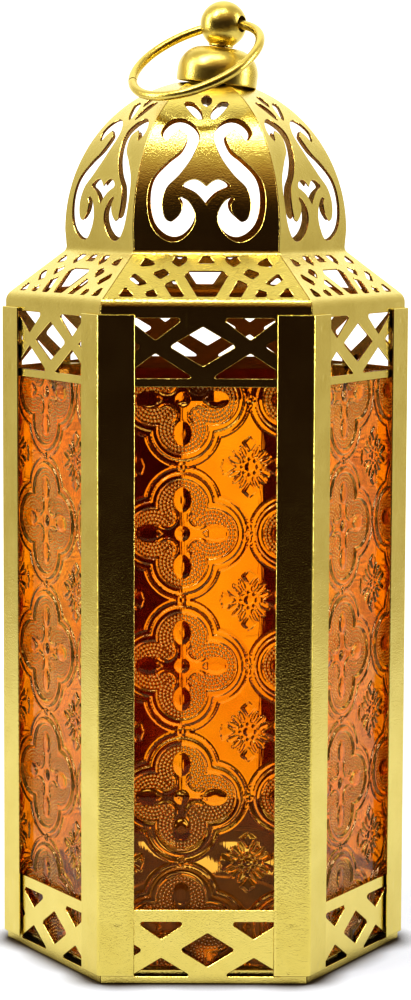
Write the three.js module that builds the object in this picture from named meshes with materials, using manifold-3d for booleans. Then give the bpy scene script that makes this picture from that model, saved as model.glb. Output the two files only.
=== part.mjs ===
// Moroccan metal lantern: a six-sided sheet-metal case with pierced walls, pressed-glass panes,
// a pierced dome, a leaning ball finial with a wire ring, and a hinged door at the rear.
// Units are millimetres, +Z is up, the front face looks along -Y and the base stands on z = 0.
import * as THREE from 'three';
import { mergeVertices } from 'three/addons/utils/BufferGeometryUtils.js';
import Module from 'manifold-3d';

const wasm = await Module();
wasm.setup();

// ---------------------------------------------------------------- driving dimensions

const SIDES = 6;
const TURN = (2 * Math.PI) / SIDES;
const HALF_TURN_TAN = Math.tan(TURN / 2);
const DEGREE = Math.PI / 180;

const SHEET = 0.5;            // thickness of all bent sheet metal
const GAP = 0.3;              // clearance kept between neighbouring pieces
const CIRCLE_STEPS = 16;      // flats on small round pieces
const CUT_REACH = 5;          // how far a cutting body stands past what it cuts

// Walls: each one is a single sheet, bent in over the slope and then over the dome.
const WALL_APOTHEM = 47.5;    // axis to the outside of a wall
const WALL_SEAM = 0.18;       // half the slot between two neighbouring walls
const SLOPE_FOOT_Z = 180.2;   // height of the wall's upper bend
const SLOPE_FOOT_BEND = 3.5;
const SLOPE_TOP_APOTHEM = 33;
const SLOPE_TOP_Z = 192.8;
const SLOPE_TOP_BEND = 2;
const DOME_APOTHEM = 33.4;    // half width of the dome where its ellipse starts
const DOME_FOOT_Z = 198;
const DOME_RISE = 41;
const DOME_TIP_APOTHEM = 7;   // the sheets stop here, around the finial's stud
const DOME_STEPS = 8;

// Openings of the straight wall
const WINDOW_BOTTOM = 19.9;
const WINDOW_TOP = 158.35;
const WINDOW_HALF_WIDTH = 20.5;
const LATTICE_PITCH = 12.3;   // from the middle of a lattice to each of its crossings
const UPPER_LATTICE_SHIFT = -0.85;
const LOWER_LATTICE_SHIFT = 1;
const LATTICE_LIMIT = 21;     // the openings stop here, behind the corner strips

// Corner strips, folded to 120 degrees over the wall corners
const STRIP_APOTHEM = 48.45;  // axis to the outside of a leg
const STRIP_LEG = 9.5;
const STRIP_DOOR_LEG = 6;     // narrower leg beside the door
const STRIP_BOTTOM = 2.15;
const STRIP_TOP = 177.1;

// Glass
const PANE_THICKNESS = 3;
const PANE_HALF_WIDTH = 24;
const PANE_BOTTOM = 4.4;
const PANE_TOP = 159.2;
const PANE_SEAT = 0.4;        // between a pane and the sheet in front of it

// Clips that hold a pane, one over its top edge and one under its bottom edge
const CLIP_WIDTH = 6;
const CLIP_LIP = 5;
const TOP_CLIP_TAIL = 3;
const FOOT_CLIP_TAIL = 2.7;

// Base pan and candle cup
const PAN_APOTHEM = 45.6;
const PAN_SHEET = 0.6;
const PAN_HEIGHT = 3.2;
const CUP_RADIUS = 21;
const CUP_HEIGHT = 12;
const CUP_RIM = 1;
const CUP_STEPS = 24;

// Door: a framed leaf over the widened window of the rear wall. It is drawn facing -Y like the
// other walls, with its hinge on the left, and turned to the rear with them.
const DOOR_OPENING_HALF_WIDTH = 21.3;
const LEAF_INSIDE = STRIP_APOTHEM + GAP;
const LEAF_OVERLAP = 1.3;     // over the rails above and below the opening
const LEAF_FREE_EDGE = 22.9;
const LEAF_HINGE_GAP = 0.2;   // between the leaf's edge and its barrels
const PLATE_LAP = 1;          // of a leaf knuckle's plate over the leaf
const LEAF_WINDOW = { left: -16.9, right: 6.4, bottom: 29.5, top: 148 };
const DOOR_PANE_HALF_WIDTH = 20.3;
const DOOR_PANE_BOTTOM = 21.4;
const DOOR_PANE_TOP = 157.2;
const DOOR_CLIP_TAIL = 1;
const HINGE_X = 24.9;
const HINGE_BARREL = 1.6;
const HINGE_BORE = 1.05;
const HINGE_PIN = 0.75;
const PIN_HEAD = 1.3;
const PIN_HEAD_HEIGHT = 0.7;
const HINGE_HEIGHTS = { lower: 38, upper: 140 };
const KNUCKLE_LENGTH = 7;
const HINGE_PLATE_END = 27.4;
const PLATE_STEP = 0.02;      // the plates' backs stand this far off the leaf's inside
const PIN_TAIL = 0.6;         // below the lower knuckle

// Turn button that keeps the door shut
const LATCH_X = 25.6;
const LATCH_Z = 88;
const LATCH_LENGTH = 9;
const LATCH_HEAD = 2.1;
const LATCH_TIP = 1.3;
const LATCH_THICKNESS = 0.6;
const LATCH_BORE = 1.15;
const RIVET_STEM = 0.8;
const RIVET_SEAT = 1.7;
const RIVET_HEAD = 1.9;
const RIVET_CROWN = 1.33;     // radius where the domed top of the head starts
const RIVET_HEIGHT = 0.75;
const RIVET_DOMING = 0.15;

// Finial: cap, ball and stud share an axis that leans to the right of the upright
const LEAN = 6.6 * DEGREE;
const LEAN_PIVOT_Z = 214;
const CAP_FOOT = 23.8;        // lengths up the leaning axis from its pivot
const CAP_RADIUS = 11;
const CAP_SHOULDER = 3;
const CAP_HEIGHT = 9.9;
const CAP_FLAT = 4.4;
const CAP_SHEET = 0.7;
const FINIAL_STEPS = 24;      // flats around the cap, washer and ball
const BALL_ARC_STEPS = 9;     // from the neck to the top of the ball
const CAP_ARC_STEPS = 5;
const STUD_RADIUS = 2;
const STUD_BORE = 2.3;
const STUD_FOOT = 17.6;
const STUD_TOP = 36.2;
const NUT_FOOT = 18;
const NUT_HEIGHT = 2.6;
const NUT_RADIUS = 4;
const WASHER_FOOT = 20.9;
const WASHER_HEIGHT = 0.8;
const WASHER_RADIUS = 8.5;
const BALL_RADIUS = 6.3;
const BALL_CENTRE = 40;
const NECK_RADIUS = 3.4;

// Wire ring through the cross hole of the ball
const RING_RADIUS = 18.12;    // to the middle of the wire
const WIRE_RADIUS = 1.25;
const WIRE_STEPS = 8;
const RING_STEPS = 36;
const RING_HOLE = 2.2;
const RING_HOLE_DROP = 0.4;   // the hole sits this far under the ball's centre
const RING_HOLE_BEARING = -32.7 * DEGREE;
const RING_HOLE_RISE = 3.8 * DEGREE;
const RING_DIP = 33.3 * DEGREE;
const RING_BOW = 0.5;         // the wire's curve, shared between the middle and mouths of the hole

// ---------------------------------------------------------------- materials

function metal(name, colour, roughness) {
  return new THREE.MeshStandardMaterial({ name, color: colour, roughness, metalness: 1 });
}

const GOLD = metal('satin_gold', 0xd9c15e, 0.38);
const FINIAL_GOLD = metal('finial_gold', 0xc9a83c, 0.28);
const STEEL = metal('plated_steel', 0xb5aa86, 0.4);
const AMBER = new THREE.MeshStandardMaterial({
  name: 'amber_glass', color: 0xe0701a, roughness: 0.08, metalness: 0, transparent: true, opacity: 0.6,
});

// ---------------------------------------------------------------- shape helpers

const X = new THREE.Vector3(1, 0, 0);
const Y = new THREE.Vector3(0, 1, 0);
const Z = new THREE.Vector3(0, 0, 1);
const ORIGIN = new THREE.Vector3();

// A drawing plane: outlines are drawn in (across, up) and extruded along across x up.
function plane(across, up, origin = ORIGIN) {
  return { across, up, origin };
}

const GROUND = plane(X, Y);
const FRONT = plane(X, Z);
const SECTION = plane(Y.clone().negate(), Z);

function point(x, y) {
  return new THREE.Vector2(x, y);
}

function prism(outline, frame, from, to) {
  const geometry = new THREE.ExtrudeGeometry(new THREE.Shape(outline), {
    depth: to - from, bevelEnabled: false, steps: 1,
  });
  const outward = frame.across.clone().cross(frame.up);
  geometry.translate(0, 0, from);
  geometry.applyMatrix4(new THREE.Matrix4().makeBasis(frame.across, frame.up, outward));
  return geometry.translate(frame.origin.x, frame.origin.y, frame.origin.z);
}

function solidOf(geometry) {
  const bare = geometry.clone();
  bare.deleteAttribute('normal');
  bare.deleteAttribute('uv');
  const merged = mergeVertices(bare, 1e-4);
  return new wasm.Manifold(new wasm.Mesh({
    numProp: 3,
    vertProperties: merged.attributes.position.array,
    triVerts: Uint32Array.from(merged.index.array),
  }));
}

function geometryOf(solid) {
  const { vertProperties, triVerts } = solid.getMesh();
  const geometry = new THREE.BufferGeometry();
  geometry.setAttribute('position', new THREE.BufferAttribute(vertProperties, 3));
  geometry.setIndex(new THREE.BufferAttribute(triVerts, 1));
  geometry.computeVertexNormals();
  return geometry;
}

function cutAll(body, cutters) {
  return cutters.reduce((rest, cutter) => rest.subtract(solidOf(cutter)), body);
}

function rectangle(left, bottom, right, top) {
  return [point(left, bottom), point(right, bottom), point(right, top), point(left, top)];
}

function regularPolygon(sides, radius, startAngle = 0, centre = point(0, 0)) {
  return Array.from({ length: sides }, (_, i) => {
    const angle = startAngle + (2 * Math.PI * i) / sides;
    return point(centre.x + radius * Math.cos(angle), centre.y + radius * Math.sin(angle));
  });
}

function hexagon(apothem) {
  return regularPolygon(SIDES, apothem / Math.cos(TURN / 2));
}

// Closed lathe piece about Z from [radius, height] pairs
function turned(profile, steps) {
  const points = [...profile, profile[0]].map(([radius, height]) => point(radius, height));
  return new THREE.LatheGeometry(points, steps).rotateX(Math.PI / 2);
}

function mirrored(outline) {
  return outline.map(([x, y]) => [-x, y]).reverse();
}

function both(outlines) {
  return outlines.flatMap((outline) => [outline, mirrored(outline)]);
}

function toPoints(pairs) {
  return pairs.map(([x, y]) => point(x, y));
}

// ---------------------------------------------------------------- wall sheet

// Arc that rounds a corner of a profile, starting and ending on its two straight sides
function roundedCorner(before, corner, after, radius, steps) {
  const back = before.clone().sub(corner).normalize();
  const ahead = after.clone().sub(corner).normalize();
  const halfAngle = Math.acos(back.dot(ahead)) / 2;
  const middle = back.clone().add(ahead).normalize();
  const centre = corner.clone().add(middle.multiplyScalar(radius / Math.sin(halfAngle)));
  const first = corner.clone().add(back.multiplyScalar(radius / Math.tan(halfAngle))).sub(centre);
  const last = corner.clone().add(ahead.multiplyScalar(radius / Math.tan(halfAngle))).sub(centre);
  const sweep = Math.atan2(first.cross(last), first.dot(last));
  return Array.from({ length: steps + 1 }, (_, i) =>
    first.clone().rotateAround(point(0, 0), (sweep * i) / steps).add(centre));
}

function domeProfilePoint(angle) {
  return point(DOME_APOTHEM * Math.cos(angle), DOME_FOOT_Z + DOME_RISE * Math.sin(angle));
}

// Outside of the bent sheet as (apothem, height), from the floor to the tip of the dome
function wallProfile() {
  const foot = point(WALL_APOTHEM, 0);
  const slopeFoot = point(WALL_APOTHEM, SLOPE_FOOT_Z);
  const slopeTop = point(SLOPE_TOP_APOTHEM, SLOPE_TOP_Z);
  const domeFoot = domeProfilePoint(0);
  const tipAngle = Math.acos(DOME_TIP_APOTHEM / DOME_APOTHEM);
  const dome = Array.from({ length: DOME_STEPS + 1 }, (_, i) =>
    domeProfilePoint((tipAngle * i) / DOME_STEPS));
  return [
    foot,
    ...roundedCorner(foot, slopeFoot, slopeTop, SLOPE_FOOT_BEND, 3),
    ...roundedCorner(slopeFoot, slopeTop, domeFoot, SLOPE_TOP_BEND, 2),
    ...dome,
  ];
}

// The same profile moved sideways by a distance, towards the axis
function offsetInwards(profile, distance) {
  return profile.map((here, i) => {
    const before = profile[Math.max(i - 1, 0)];
    const after = profile[Math.min(i + 1, profile.length - 1)];
    const a = (i > 0 ? here.clone().sub(before) : after.clone().sub(here)).normalize();
    const b = (i < profile.length - 1 ? after.clone().sub(here) : here.clone().sub(before)).normalize();
    const along = a.clone().add(b).normalize();
    const reach = distance / along.dot(a);
    return point(here.x - along.y * reach, here.y + along.x * reach);
  });
}

// Height of a point that lies a given length up the dome's sheet from the top of the slope
function domeHeight(lengthUp) {
  const riser = Math.hypot(DOME_APOTHEM - SLOPE_TOP_APOTHEM, DOME_FOOT_Z - SLOPE_TOP_Z);
  if (lengthUp < riser) return SLOPE_TOP_Z + (lengthUp / riser) * (DOME_FOOT_Z - SLOPE_TOP_Z);
  const step = 0.002;
  let angle = 0;
  let travelled = riser;
  while (travelled < lengthUp) {
    travelled += step * Math.hypot(DOME_APOTHEM * Math.sin(angle), DOME_RISE * Math.cos(angle));
    angle += step;
  }
  return DOME_FOOT_Z + DOME_RISE * Math.sin(angle);
}

// One band of the wall's lattice: triangles above and below, diamonds in the middle row
function latticeBand({ shift, heights, halfWidths, diamondHalfHeight, bottomLip }) {
  const [top, upperTip, middle, lowerTip, bottom] = heights;
  const [upperHalf, diamondHalf, lowerHalf] = halfWidths;
  const limit = (x) => THREE.MathUtils.clamp(x, -LATTICE_LIMIT, LATTICE_LIMIT);
  const outlines = [[
    [shift - diamondHalf, middle], [shift, middle - diamondHalfHeight],
    [shift + diamondHalf, middle], [shift, middle + diamondHalfHeight],
  ]];
  for (const side of [-1, 1]) {
    const centre = shift + side * LATTICE_PITCH;
    const edge = side * LATTICE_LIMIT;
    const sideTip = shift + side * (2 * LATTICE_PITCH - diamondHalf);
    const cutHeight = (diamondHalfHeight * Math.abs(edge - sideTip)) / diamondHalf;
    const upper = [[limit(centre - upperHalf), top], [centre, upperTip], [limit(centre + upperHalf), top]];
    const lower = [
      [limit(centre - lowerHalf), bottom], [limit(centre + lowerHalf), bottom],
      [limit(centre + lowerHalf), bottom + bottomLip], [centre, lowerTip],
      [limit(centre - lowerHalf), bottom + bottomLip],
    ];
    const half = [[sideTip, middle], [edge, middle - cutHeight], [edge, middle + cutHeight]];
    outlines.push(upper, lower, side > 0 ? half : half.reverse());
  }
  return outlines;
}

const UPPER_LATTICE = latticeBand({
  shift: UPPER_LATTICE_SHIFT, heights: [176.2, 170.5, 168.85, 167.1, 160.6],
  halfWidths: [7.5, 8.7, 9.1], diamondHalfHeight: 5.15, bottomLip: 0.6,
});
const LOWER_LATTICE = latticeBand({
  shift: LOWER_LATTICE_SHIFT, heights: [16.6, 12, 9.05, 6.9, 1.9],
  halfWidths: [6.8, 7.3, 7.1], diamondHalfHeight: 4.55, bottomLip: 0.6,
});

// Openings of the slope as (across, distance up the slope); the right half, then mirrored
const SLOPE_OPENINGS = [
  [[-1, 17.7], [-2.4, 15], [2.4, 15], [1, 17.7]],
  [[-4.3, 12], [-5.7, 10.3], [-2.4, 2.4], [2.4, 2.4], [5.7, 10.3], [4.3, 12]],
  ...both([
    [[4.8, 17.5], [5.5, 15.2], [7.2, 13.6], [9, 15.4], [8.2, 17.6]],
    [[13.2, 15], [14.2, 14.1], [17.6, 13.7], [16, 17.2]],
    [[9.5, 11.1], [12, 8.9], [14.1, 11.1], [11, 12.8]],
    [[15.2, 7.4], [17.5, 6.4], [20.1, 9.1], [18.7, 11.1]],
    [[5.6, 2.3], [9, 2.3], [10.9, 6.75], [8.25, 8.7]],
    [[12.4, 2.3], [15.3, 2.3], [15.9, 3.8], [13.6, 5]],
    [[18.5, 2.3], [22.9, 2.3], [21.1, 6]],
  ]),
];

// Right scroll of the dome: (across, length up the sheet, half width) along its middle line
const SCROLL = [
  [10.4, 30.5, 0.5], [10.5, 33, 1.5], [7.2, 35.65, 1.95], [3.6, 32.6, 1.65], [5.1, 26.8, 1.65],
  [8.7, 22.4, 2.3], [12.5, 18, 2.2], [13.6, 12.2, 1.9], [12.1, 7.1, 2.1], [8.6, 5.4, 2.65],
  [5.1, 8.9, 2.2], [5.4, 12.6, 1.05], [6.9, 14.3, 0.4],
];
const SCROLL_STEPS = 17;

// Smaller dome openings as (across, length up the sheet)
const HEART = [
  [0, 12.5], [1.4, 14.2], [2.8, 15.5], [4.4, 16.4], [6.2, 17.3], [6, 18], [4.8, 18.9], [3, 19.3],
  [1.5, 18.7], [0, 17.4],
];
const LEAF = [
  [1.2, 37.6], [2, 37.4], [3.2, 38.4], [4.6, 40.5], [5.9, 43.4], [5.4, 44], [3.9, 43.9], [2.5, 42.5],
  [1.4, 40.4],
];
const TEARDROP = [[0, 42.1], [1, 43.2], [1.4, 45], [0.9, 46.6], [0, 47.1]];

// Outline of a stroke that follows a spline and changes width on the way
function strokeOutline(stations, steps) {
  const spine = new THREE.CatmullRomCurve3(stations.map(([x, y, w]) => new THREE.Vector3(x, y, w)));
  const leftSide = [];
  const rightSide = [];
  for (let i = 0; i <= steps; i++) {
    const here = spine.getPoint(i / steps);
    const along = spine.getTangent(i / steps);
    const side = point(-along.y, along.x).normalize().multiplyScalar(here.z);
    leftSide.push([here.x + side.x, here.y + side.y]);
    rightSide.push([here.x - side.x, here.y - side.y]);
  }
  return [...leftSide, ...rightSide.reverse()];
}

function symmetric(half) {
  const inner = half.filter(([x]) => x > 0);
  return [...half, ...inner.map(([x, y]) => [-x, y]).reverse()];
}

function domeOpenings() {
  const outlines = [
    ...both([strokeOutline(SCROLL, SCROLL_STEPS), LEAF]),
    symmetric(HEART), symmetric(TEARDROP),
  ];
  return outlines.map((outline) => outline.map(([x, lengthUp]) => [x, domeHeight(lengthUp)]));
}

function wallCutters(wallOutlines) {
  const slopeUp = new THREE.Vector3(0, WALL_APOTHEM - SLOPE_TOP_APOTHEM, SLOPE_TOP_Z - SLOPE_FOOT_Z);
  const slope = plane(X, slopeUp.normalize(), new THREE.Vector3(0, -WALL_APOTHEM, SLOPE_FOOT_Z));
  return [
    ...wallOutlines.map((o) => prism(toPoints(o), FRONT, WALL_APOTHEM - CUT_REACH, WALL_APOTHEM + CUT_REACH)),
    ...SLOPE_OPENINGS.map((o) => prism(toPoints(o), slope, -2 * SHEET, SHEET)),
    ...domeOpenings().map((o) => prism(toPoints(o), FRONT, GAP, WALL_APOTHEM)),
  ];
}

// The bent sheet, cut to its sixth of the turn and pierced
function wallSheet(wallOutlines) {
  const outside = wallProfile();
  const section = [...outside, ...offsetInwards(outside, SHEET).reverse()];
  const span = WALL_APOTHEM * HALF_TURN_TAN + CUT_REACH;
  const bent = solidOf(prism(section, SECTION, -span, span));
  const far = WALL_APOTHEM + CUT_REACH;
  const apex = WALL_SEAM / Math.sin(TURN / 2);
  const halfFar = (far - apex) * HALF_TURN_TAN;
  const sector = [point(0, -apex), point(-halfFar, -far), point(halfFar, -far)];
  const wedge = solidOf(prism(sector, GROUND, -CUT_REACH, DOME_FOOT_Z + DOME_RISE + CUT_REACH));
  return geometryOf(cutAll(bent.intersect(wedge), wallCutters(wallOutlines)));
}

function windowedWall(halfWidth) {
  const windowOutline = rectangle(-halfWidth, WINDOW_BOTTOM, halfWidth, WINDOW_TOP).map(({ x, y }) => [x, y]);
  return wallSheet([...UPPER_LATTICE, ...LOWER_LATTICE, windowOutline]);
}

// ---------------------------------------------------------------- strips, glass and clips

// Corner strip about the corner at azimuth 0, with a leg on each of its two faces
function cornerStrip(lowerLeg, upperLeg) {
  const corner = STRIP_APOTHEM / Math.cos(TURN / 2);
  const innerCorner = (STRIP_APOTHEM - SHEET) / Math.cos(TURN / 2);
  const legEnd = (length, side, depth) => {
    const normal = point(Math.cos(TURN / 2), side * Math.sin(TURN / 2));
    const along = point(-Math.sin(TURN / 2), side * Math.cos(TURN / 2));
    return point(corner, 0).addScaledVector(along, length).addScaledVector(normal, -depth);
  };
  const section = [
    legEnd(lowerLeg, -1, 0), point(corner, 0), legEnd(upperLeg, 1, 0),
    legEnd(upperLeg, 1, SHEET), point(innerCorner, 0), legEnd(lowerLeg, -1, SHEET),
  ];
  return prism(section, GROUND, STRIP_BOTTOM, STRIP_TOP);
}

function glassPane(halfWidth, bottom, top, outside) {
  return prism(rectangle(-halfWidth, bottom, halfWidth, top), FRONT, outside - PANE_THICKNESS, outside);
}

// Clip with its tail on the metal, a ledge past the pane's edge and a lip behind the pane.
// The direction is 1 for a pane's top edge and -1 for its bottom edge.
function paneClip({ outside, edge, direction, tail, shift }) {
  const ledge = edge + direction * GAP;
  const tailFace = outside + PANE_SEAT - GAP;
  const lipFace = outside - PANE_THICKNESS - GAP;
  const at = (distance, height) => point(distance, ledge + direction * height);
  const section = [
    at(tailFace, 0), at(tailFace, SHEET + tail),
    at(tailFace - SHEET, SHEET + tail), at(tailFace - SHEET, SHEET),
    at(lipFace - SHEET, SHEET), at(lipFace - SHEET, -CLIP_LIP),
    at(lipFace, -CLIP_LIP), at(lipFace, 0),
  ];
  return prism(section, SECTION, -CLIP_WIDTH / 2 - shift, CLIP_WIDTH / 2 - shift);
}

// ---------------------------------------------------------------- base and candle cup

function basePan() {
  const outside = solidOf(prism(hexagon(PAN_APOTHEM), GROUND, 0, PAN_HEIGHT));
  const inside = prism(hexagon(PAN_APOTHEM - PAN_SHEET), GROUND, PAN_SHEET, PAN_HEIGHT + CUT_REACH);
  return geometryOf(cutAll(outside, [inside]));
}

function candleCup() {
  const foot = PAN_SHEET + GAP;
  const rim = foot + CUP_HEIGHT;
  return turned([
    [0, foot], [CUP_RADIUS - SHEET, foot], [CUP_RADIUS, foot + SHEET], [CUP_RADIUS, rim - SHEET],
    [CUP_RADIUS + CUP_RIM, rim - SHEET], [CUP_RADIUS + CUP_RIM, rim], [CUP_RADIUS - SHEET, rim],
    [CUP_RADIUS - SHEET, foot + SHEET], [0, foot + SHEET],
  ], CUP_STEPS);
}

// ---------------------------------------------------------------- door

const HINGE_DISTANCE = LEAF_INSIDE + HINGE_BARREL;

// A rolled knuckle with its plate, drawn with the door facing -Y and the hinge at negative x
function knuckle(plateEnd, bottom) {
  const top = bottom + KNUCKLE_LENGTH;
  const circle = (radius) => regularPolygon(CIRCLE_STEPS, radius, 0, point(-HINGE_X, -HINGE_DISTANCE));
  const barrel = solidOf(prism(circle(HINGE_BARREL), GROUND, bottom, top));
  const [left, right] = [Math.min(-HINGE_X, plateEnd), Math.max(-HINGE_X, plateEnd)];
  const outline = rectangle(left, -LEAF_INSIDE - SHEET, right, -LEAF_INSIDE - PLATE_STEP);
  const plate = solidOf(prism(outline, GROUND, bottom, top));
  return cutAll(barrel.add(plate), [prism(circle(HINGE_BORE), GROUND, bottom - CUT_REACH, top + CUT_REACH)]);
}

function doorLeaf() {
  const edge = -HINGE_X + HINGE_BARREL + LEAF_HINGE_GAP;
  const { left, right, bottom, top } = LEAF_WINDOW;
  const outline = rectangle(edge, WINDOW_BOTTOM - LEAF_OVERLAP, LEAF_FREE_EDGE, WINDOW_TOP + LEAF_OVERLAP);
  const sheet = solidOf(prism(outline, FRONT, LEAF_INSIDE, LEAF_INSIDE + SHEET));
  const window = rectangle(left, bottom, right, top);
  const opening = prism(window, FRONT, LEAF_INSIDE - CUT_REACH, LEAF_INSIDE + CUT_REACH);
  const knuckles = Object.values(HINGE_HEIGHTS).map((height) => knuckle(edge + PLATE_LAP, height + GAP));
  return geometryOf(knuckles.reduce((leaf, piece) => leaf.add(piece), cutAll(sheet, [opening])));
}

function hingeBracket(height) {
  return geometryOf(knuckle(-HINGE_PLATE_END, height - KNUCKLE_LENGTH));
}

function hingePin(height) {
  const foot = height - KNUCKLE_LENGTH - PIN_TAIL;
  const head = height + KNUCKLE_LENGTH + 2 * GAP;
  const profile = [
    [0, foot], [HINGE_PIN, foot], [HINGE_PIN, head],
    [PIN_HEAD, head], [PIN_HEAD, head + PIN_HEAD_HEIGHT], [0, head + PIN_HEAD_HEIGHT],
  ];
  return turned(profile, CIRCLE_STEPS).translate(-HINGE_X, -HINGE_DISTANCE, 0);
}

// Turn button: a tapered arm that hangs down from its round head
function latchButton() {
  const inside = LEAF_INSIDE + SHEET + GAP;
  const head = regularPolygon(CIRCLE_STEPS, LATCH_HEAD, Math.PI / CIRCLE_STEPS).filter((p) => p.y > 0);
  const tip = regularPolygon(CIRCLE_STEPS, LATCH_TIP, Math.PI / CIRCLE_STEPS).filter((p) => p.y < 0);
  const outline = [...head, ...tip.map((p) => point(p.x, p.y - LATCH_LENGTH + LATCH_TIP))];
  const frame = plane(X, Z, new THREE.Vector3(LATCH_X, 0, LATCH_Z));
  const body = solidOf(prism(outline, frame, inside, inside + LATCH_THICKNESS));
  const bore = prism(regularPolygon(CIRCLE_STEPS, LATCH_BORE), frame, inside - CUT_REACH, inside + CUT_REACH);
  return geometryOf(cutAll(body, [bore]));
}

function latchRivet() {
  const seat = LEAF_INSIDE;
  const buttonInside = LEAF_INSIDE + SHEET + GAP;
  const head = buttonInside + LATCH_THICKNESS + GAP;
  const profile = [
    [0, seat], [RIVET_SEAT, seat], [RIVET_SEAT, seat + SHEET], [RIVET_STEM, seat + SHEET],
    [RIVET_STEM, head], [RIVET_HEAD, head], [RIVET_CROWN, head + RIVET_HEIGHT - RIVET_DOMING],
    [0, head + RIVET_HEIGHT],
  ];
  return turned(profile, CIRCLE_STEPS).rotateX(Math.PI / 2).translate(LATCH_X, 0, LATCH_Z);
}

// ---------------------------------------------------------------- finial and ring

function finialCap() {
  const arc = (radius, rise, foot) => Array.from({ length: CAP_ARC_STEPS + 1 }, (_, i) => {
    const angle = (Math.PI / 2) * (i / CAP_ARC_STEPS);
    return [CAP_FLAT + (radius - CAP_FLAT) * Math.cos(angle), foot + rise * Math.sin(angle)];
  });
  const rise = CAP_HEIGHT - CAP_SHOULDER;
  const outside = arc(CAP_RADIUS, rise, CAP_FOOT + CAP_SHOULDER);
  const inside = arc(CAP_RADIUS - CAP_SHEET, rise - CAP_SHEET, CAP_FOOT + CAP_SHOULDER).reverse();
  return turned([
    [CAP_RADIUS, CAP_FOOT], ...outside, [STUD_BORE, CAP_FOOT + CAP_HEIGHT],
    [STUD_BORE, CAP_FOOT + CAP_HEIGHT - CAP_SHEET], ...inside, [CAP_RADIUS - CAP_SHEET, CAP_FOOT],
  ], FINIAL_STEPS);
}

function finialStud() {
  return new THREE.CylinderGeometry(STUD_RADIUS, STUD_RADIUS, STUD_TOP - STUD_FOOT, CIRCLE_STEPS)
    .rotateX(Math.PI / 2).translate(0, 0, (STUD_TOP + STUD_FOOT) / 2);
}

function finialNut() {
  const top = NUT_FOOT + NUT_HEIGHT;
  const body = solidOf(prism(regularPolygon(SIDES, NUT_RADIUS), GROUND, NUT_FOOT, top));
  const bore = regularPolygon(CIRCLE_STEPS, STUD_BORE);
  return geometryOf(cutAll(body, [prism(bore, GROUND, NUT_FOOT - CUT_REACH, top + CUT_REACH)]));
}

function finialWasher() {
  const top = WASHER_FOOT + WASHER_HEIGHT;
  return turned([
    [STUD_BORE, WASHER_FOOT], [WASHER_RADIUS, WASHER_FOOT], [WASHER_RADIUS, top], [STUD_BORE, top],
  ], FINIAL_STEPS);
}

const leaningPoint = (lengthUp) => new THREE.Vector3(
  lengthUp * Math.sin(LEAN), 0, LEAN_PIVOT_Z + lengthUp * Math.cos(LEAN));

// Middle and direction of the ball's cross hole, in the lantern's own frame
const RING_AXIS_POINT = leaningPoint(BALL_CENTRE).add(new THREE.Vector3(0, 0, -RING_HOLE_DROP));
const RING_AXIS = new THREE.Vector3(
  Math.cos(RING_HOLE_RISE) * Math.cos(RING_HOLE_BEARING),
  Math.cos(RING_HOLE_RISE) * Math.sin(RING_HOLE_BEARING),
  Math.sin(RING_HOLE_RISE));

// Ball with a short neck, a blind bore for the stud and the cross hole for the ring
function finialBall() {
  const neckFoot = CAP_FOOT + CAP_HEIGHT + GAP;
  const neckAngle = Math.asin(NECK_RADIUS / BALL_RADIUS) - Math.PI / 2;
  const arc = Array.from({ length: BALL_ARC_STEPS }, (_, i) => {
    const angle = neckAngle + ((Math.PI / 2 - neckAngle) * i) / BALL_ARC_STEPS;
    return [BALL_RADIUS * Math.cos(angle), BALL_CENTRE + BALL_RADIUS * Math.sin(angle)];
  });
  const boreTop = STUD_TOP + GAP;
  const ball = solidOf(turned([
    [0, boreTop], [STUD_BORE, boreTop], [STUD_BORE, neckFoot], [NECK_RADIUS, neckFoot], ...arc,
    [0, BALL_CENTRE + BALL_RADIUS],
  ], FINIAL_STEPS));
  const toLocal = new THREE.Matrix4().makeRotationY(-LEAN)
    .multiply(new THREE.Matrix4().makeTranslation(0, 0, -LEAN_PIVOT_Z));
  const hole = new THREE.CylinderGeometry(RING_HOLE, RING_HOLE, 4 * BALL_RADIUS, CIRCLE_STEPS);
  hole.applyQuaternion(new THREE.Quaternion().setFromUnitVectors(Y, RING_AXIS));
  hole.translate(...RING_AXIS_POINT.toArray());
  return geometryOf(cutAll(ball, [hole.applyMatrix4(toLocal)]));
}

function wireRing() {
  return new THREE.TorusGeometry(RING_RADIUS, WIRE_RADIUS, WIRE_STEPS, RING_STEPS)
    .translate(0, RING_RADIUS - RING_BOW, 0);
}

// ---------------------------------------------------------------- assembly

const lantern = new THREE.Group();
const FACE_NAMES = ['front', 'front_right', 'rear_right', 'rear', 'rear_left', 'front_left'];
const CORNER_NAMES = ['front_right', 'right', 'rear_right', 'rear_left', 'left', 'front_left'];
const REAR = FACE_NAMES.indexOf('rear');

function add(parent, name, geometry, material) {
  const mesh = new THREE.Mesh(geometry, material);
  mesh.name = name;
  parent.add(mesh);
  return mesh;
}

function turnedGroup(angle) {
  const group = new THREE.Group();
  group.rotation.z = angle;
  lantern.add(group);
  return group;
}

function addFaces() {
  const wall = windowedWall(WINDOW_HALF_WIDTH);
  const outside = WALL_APOTHEM - SHEET - PANE_SEAT;
  const pane = glassPane(PANE_HALF_WIDTH, PANE_BOTTOM, PANE_TOP, outside);
  const topClip = paneClip({
    outside, edge: PANE_TOP, direction: 1, tail: TOP_CLIP_TAIL, shift: UPPER_LATTICE_SHIFT });
  const footClip = paneClip({
    outside, edge: PANE_BOTTOM, direction: -1, tail: FOOT_CLIP_TAIL, shift: LOWER_LATTICE_SHIFT });
  FACE_NAMES.forEach((face, i) => {
    if (i === REAR) return;
    const group = turnedGroup(i * TURN);
    add(group, `wall_${face}`, wall, GOLD);
    add(group, `glass_${face}`, pane, AMBER);
    add(group, `top_clip_${face}`, topClip, GOLD);
    add(group, `foot_clip_${face}`, footClip, GOLD);
  });
}

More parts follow.
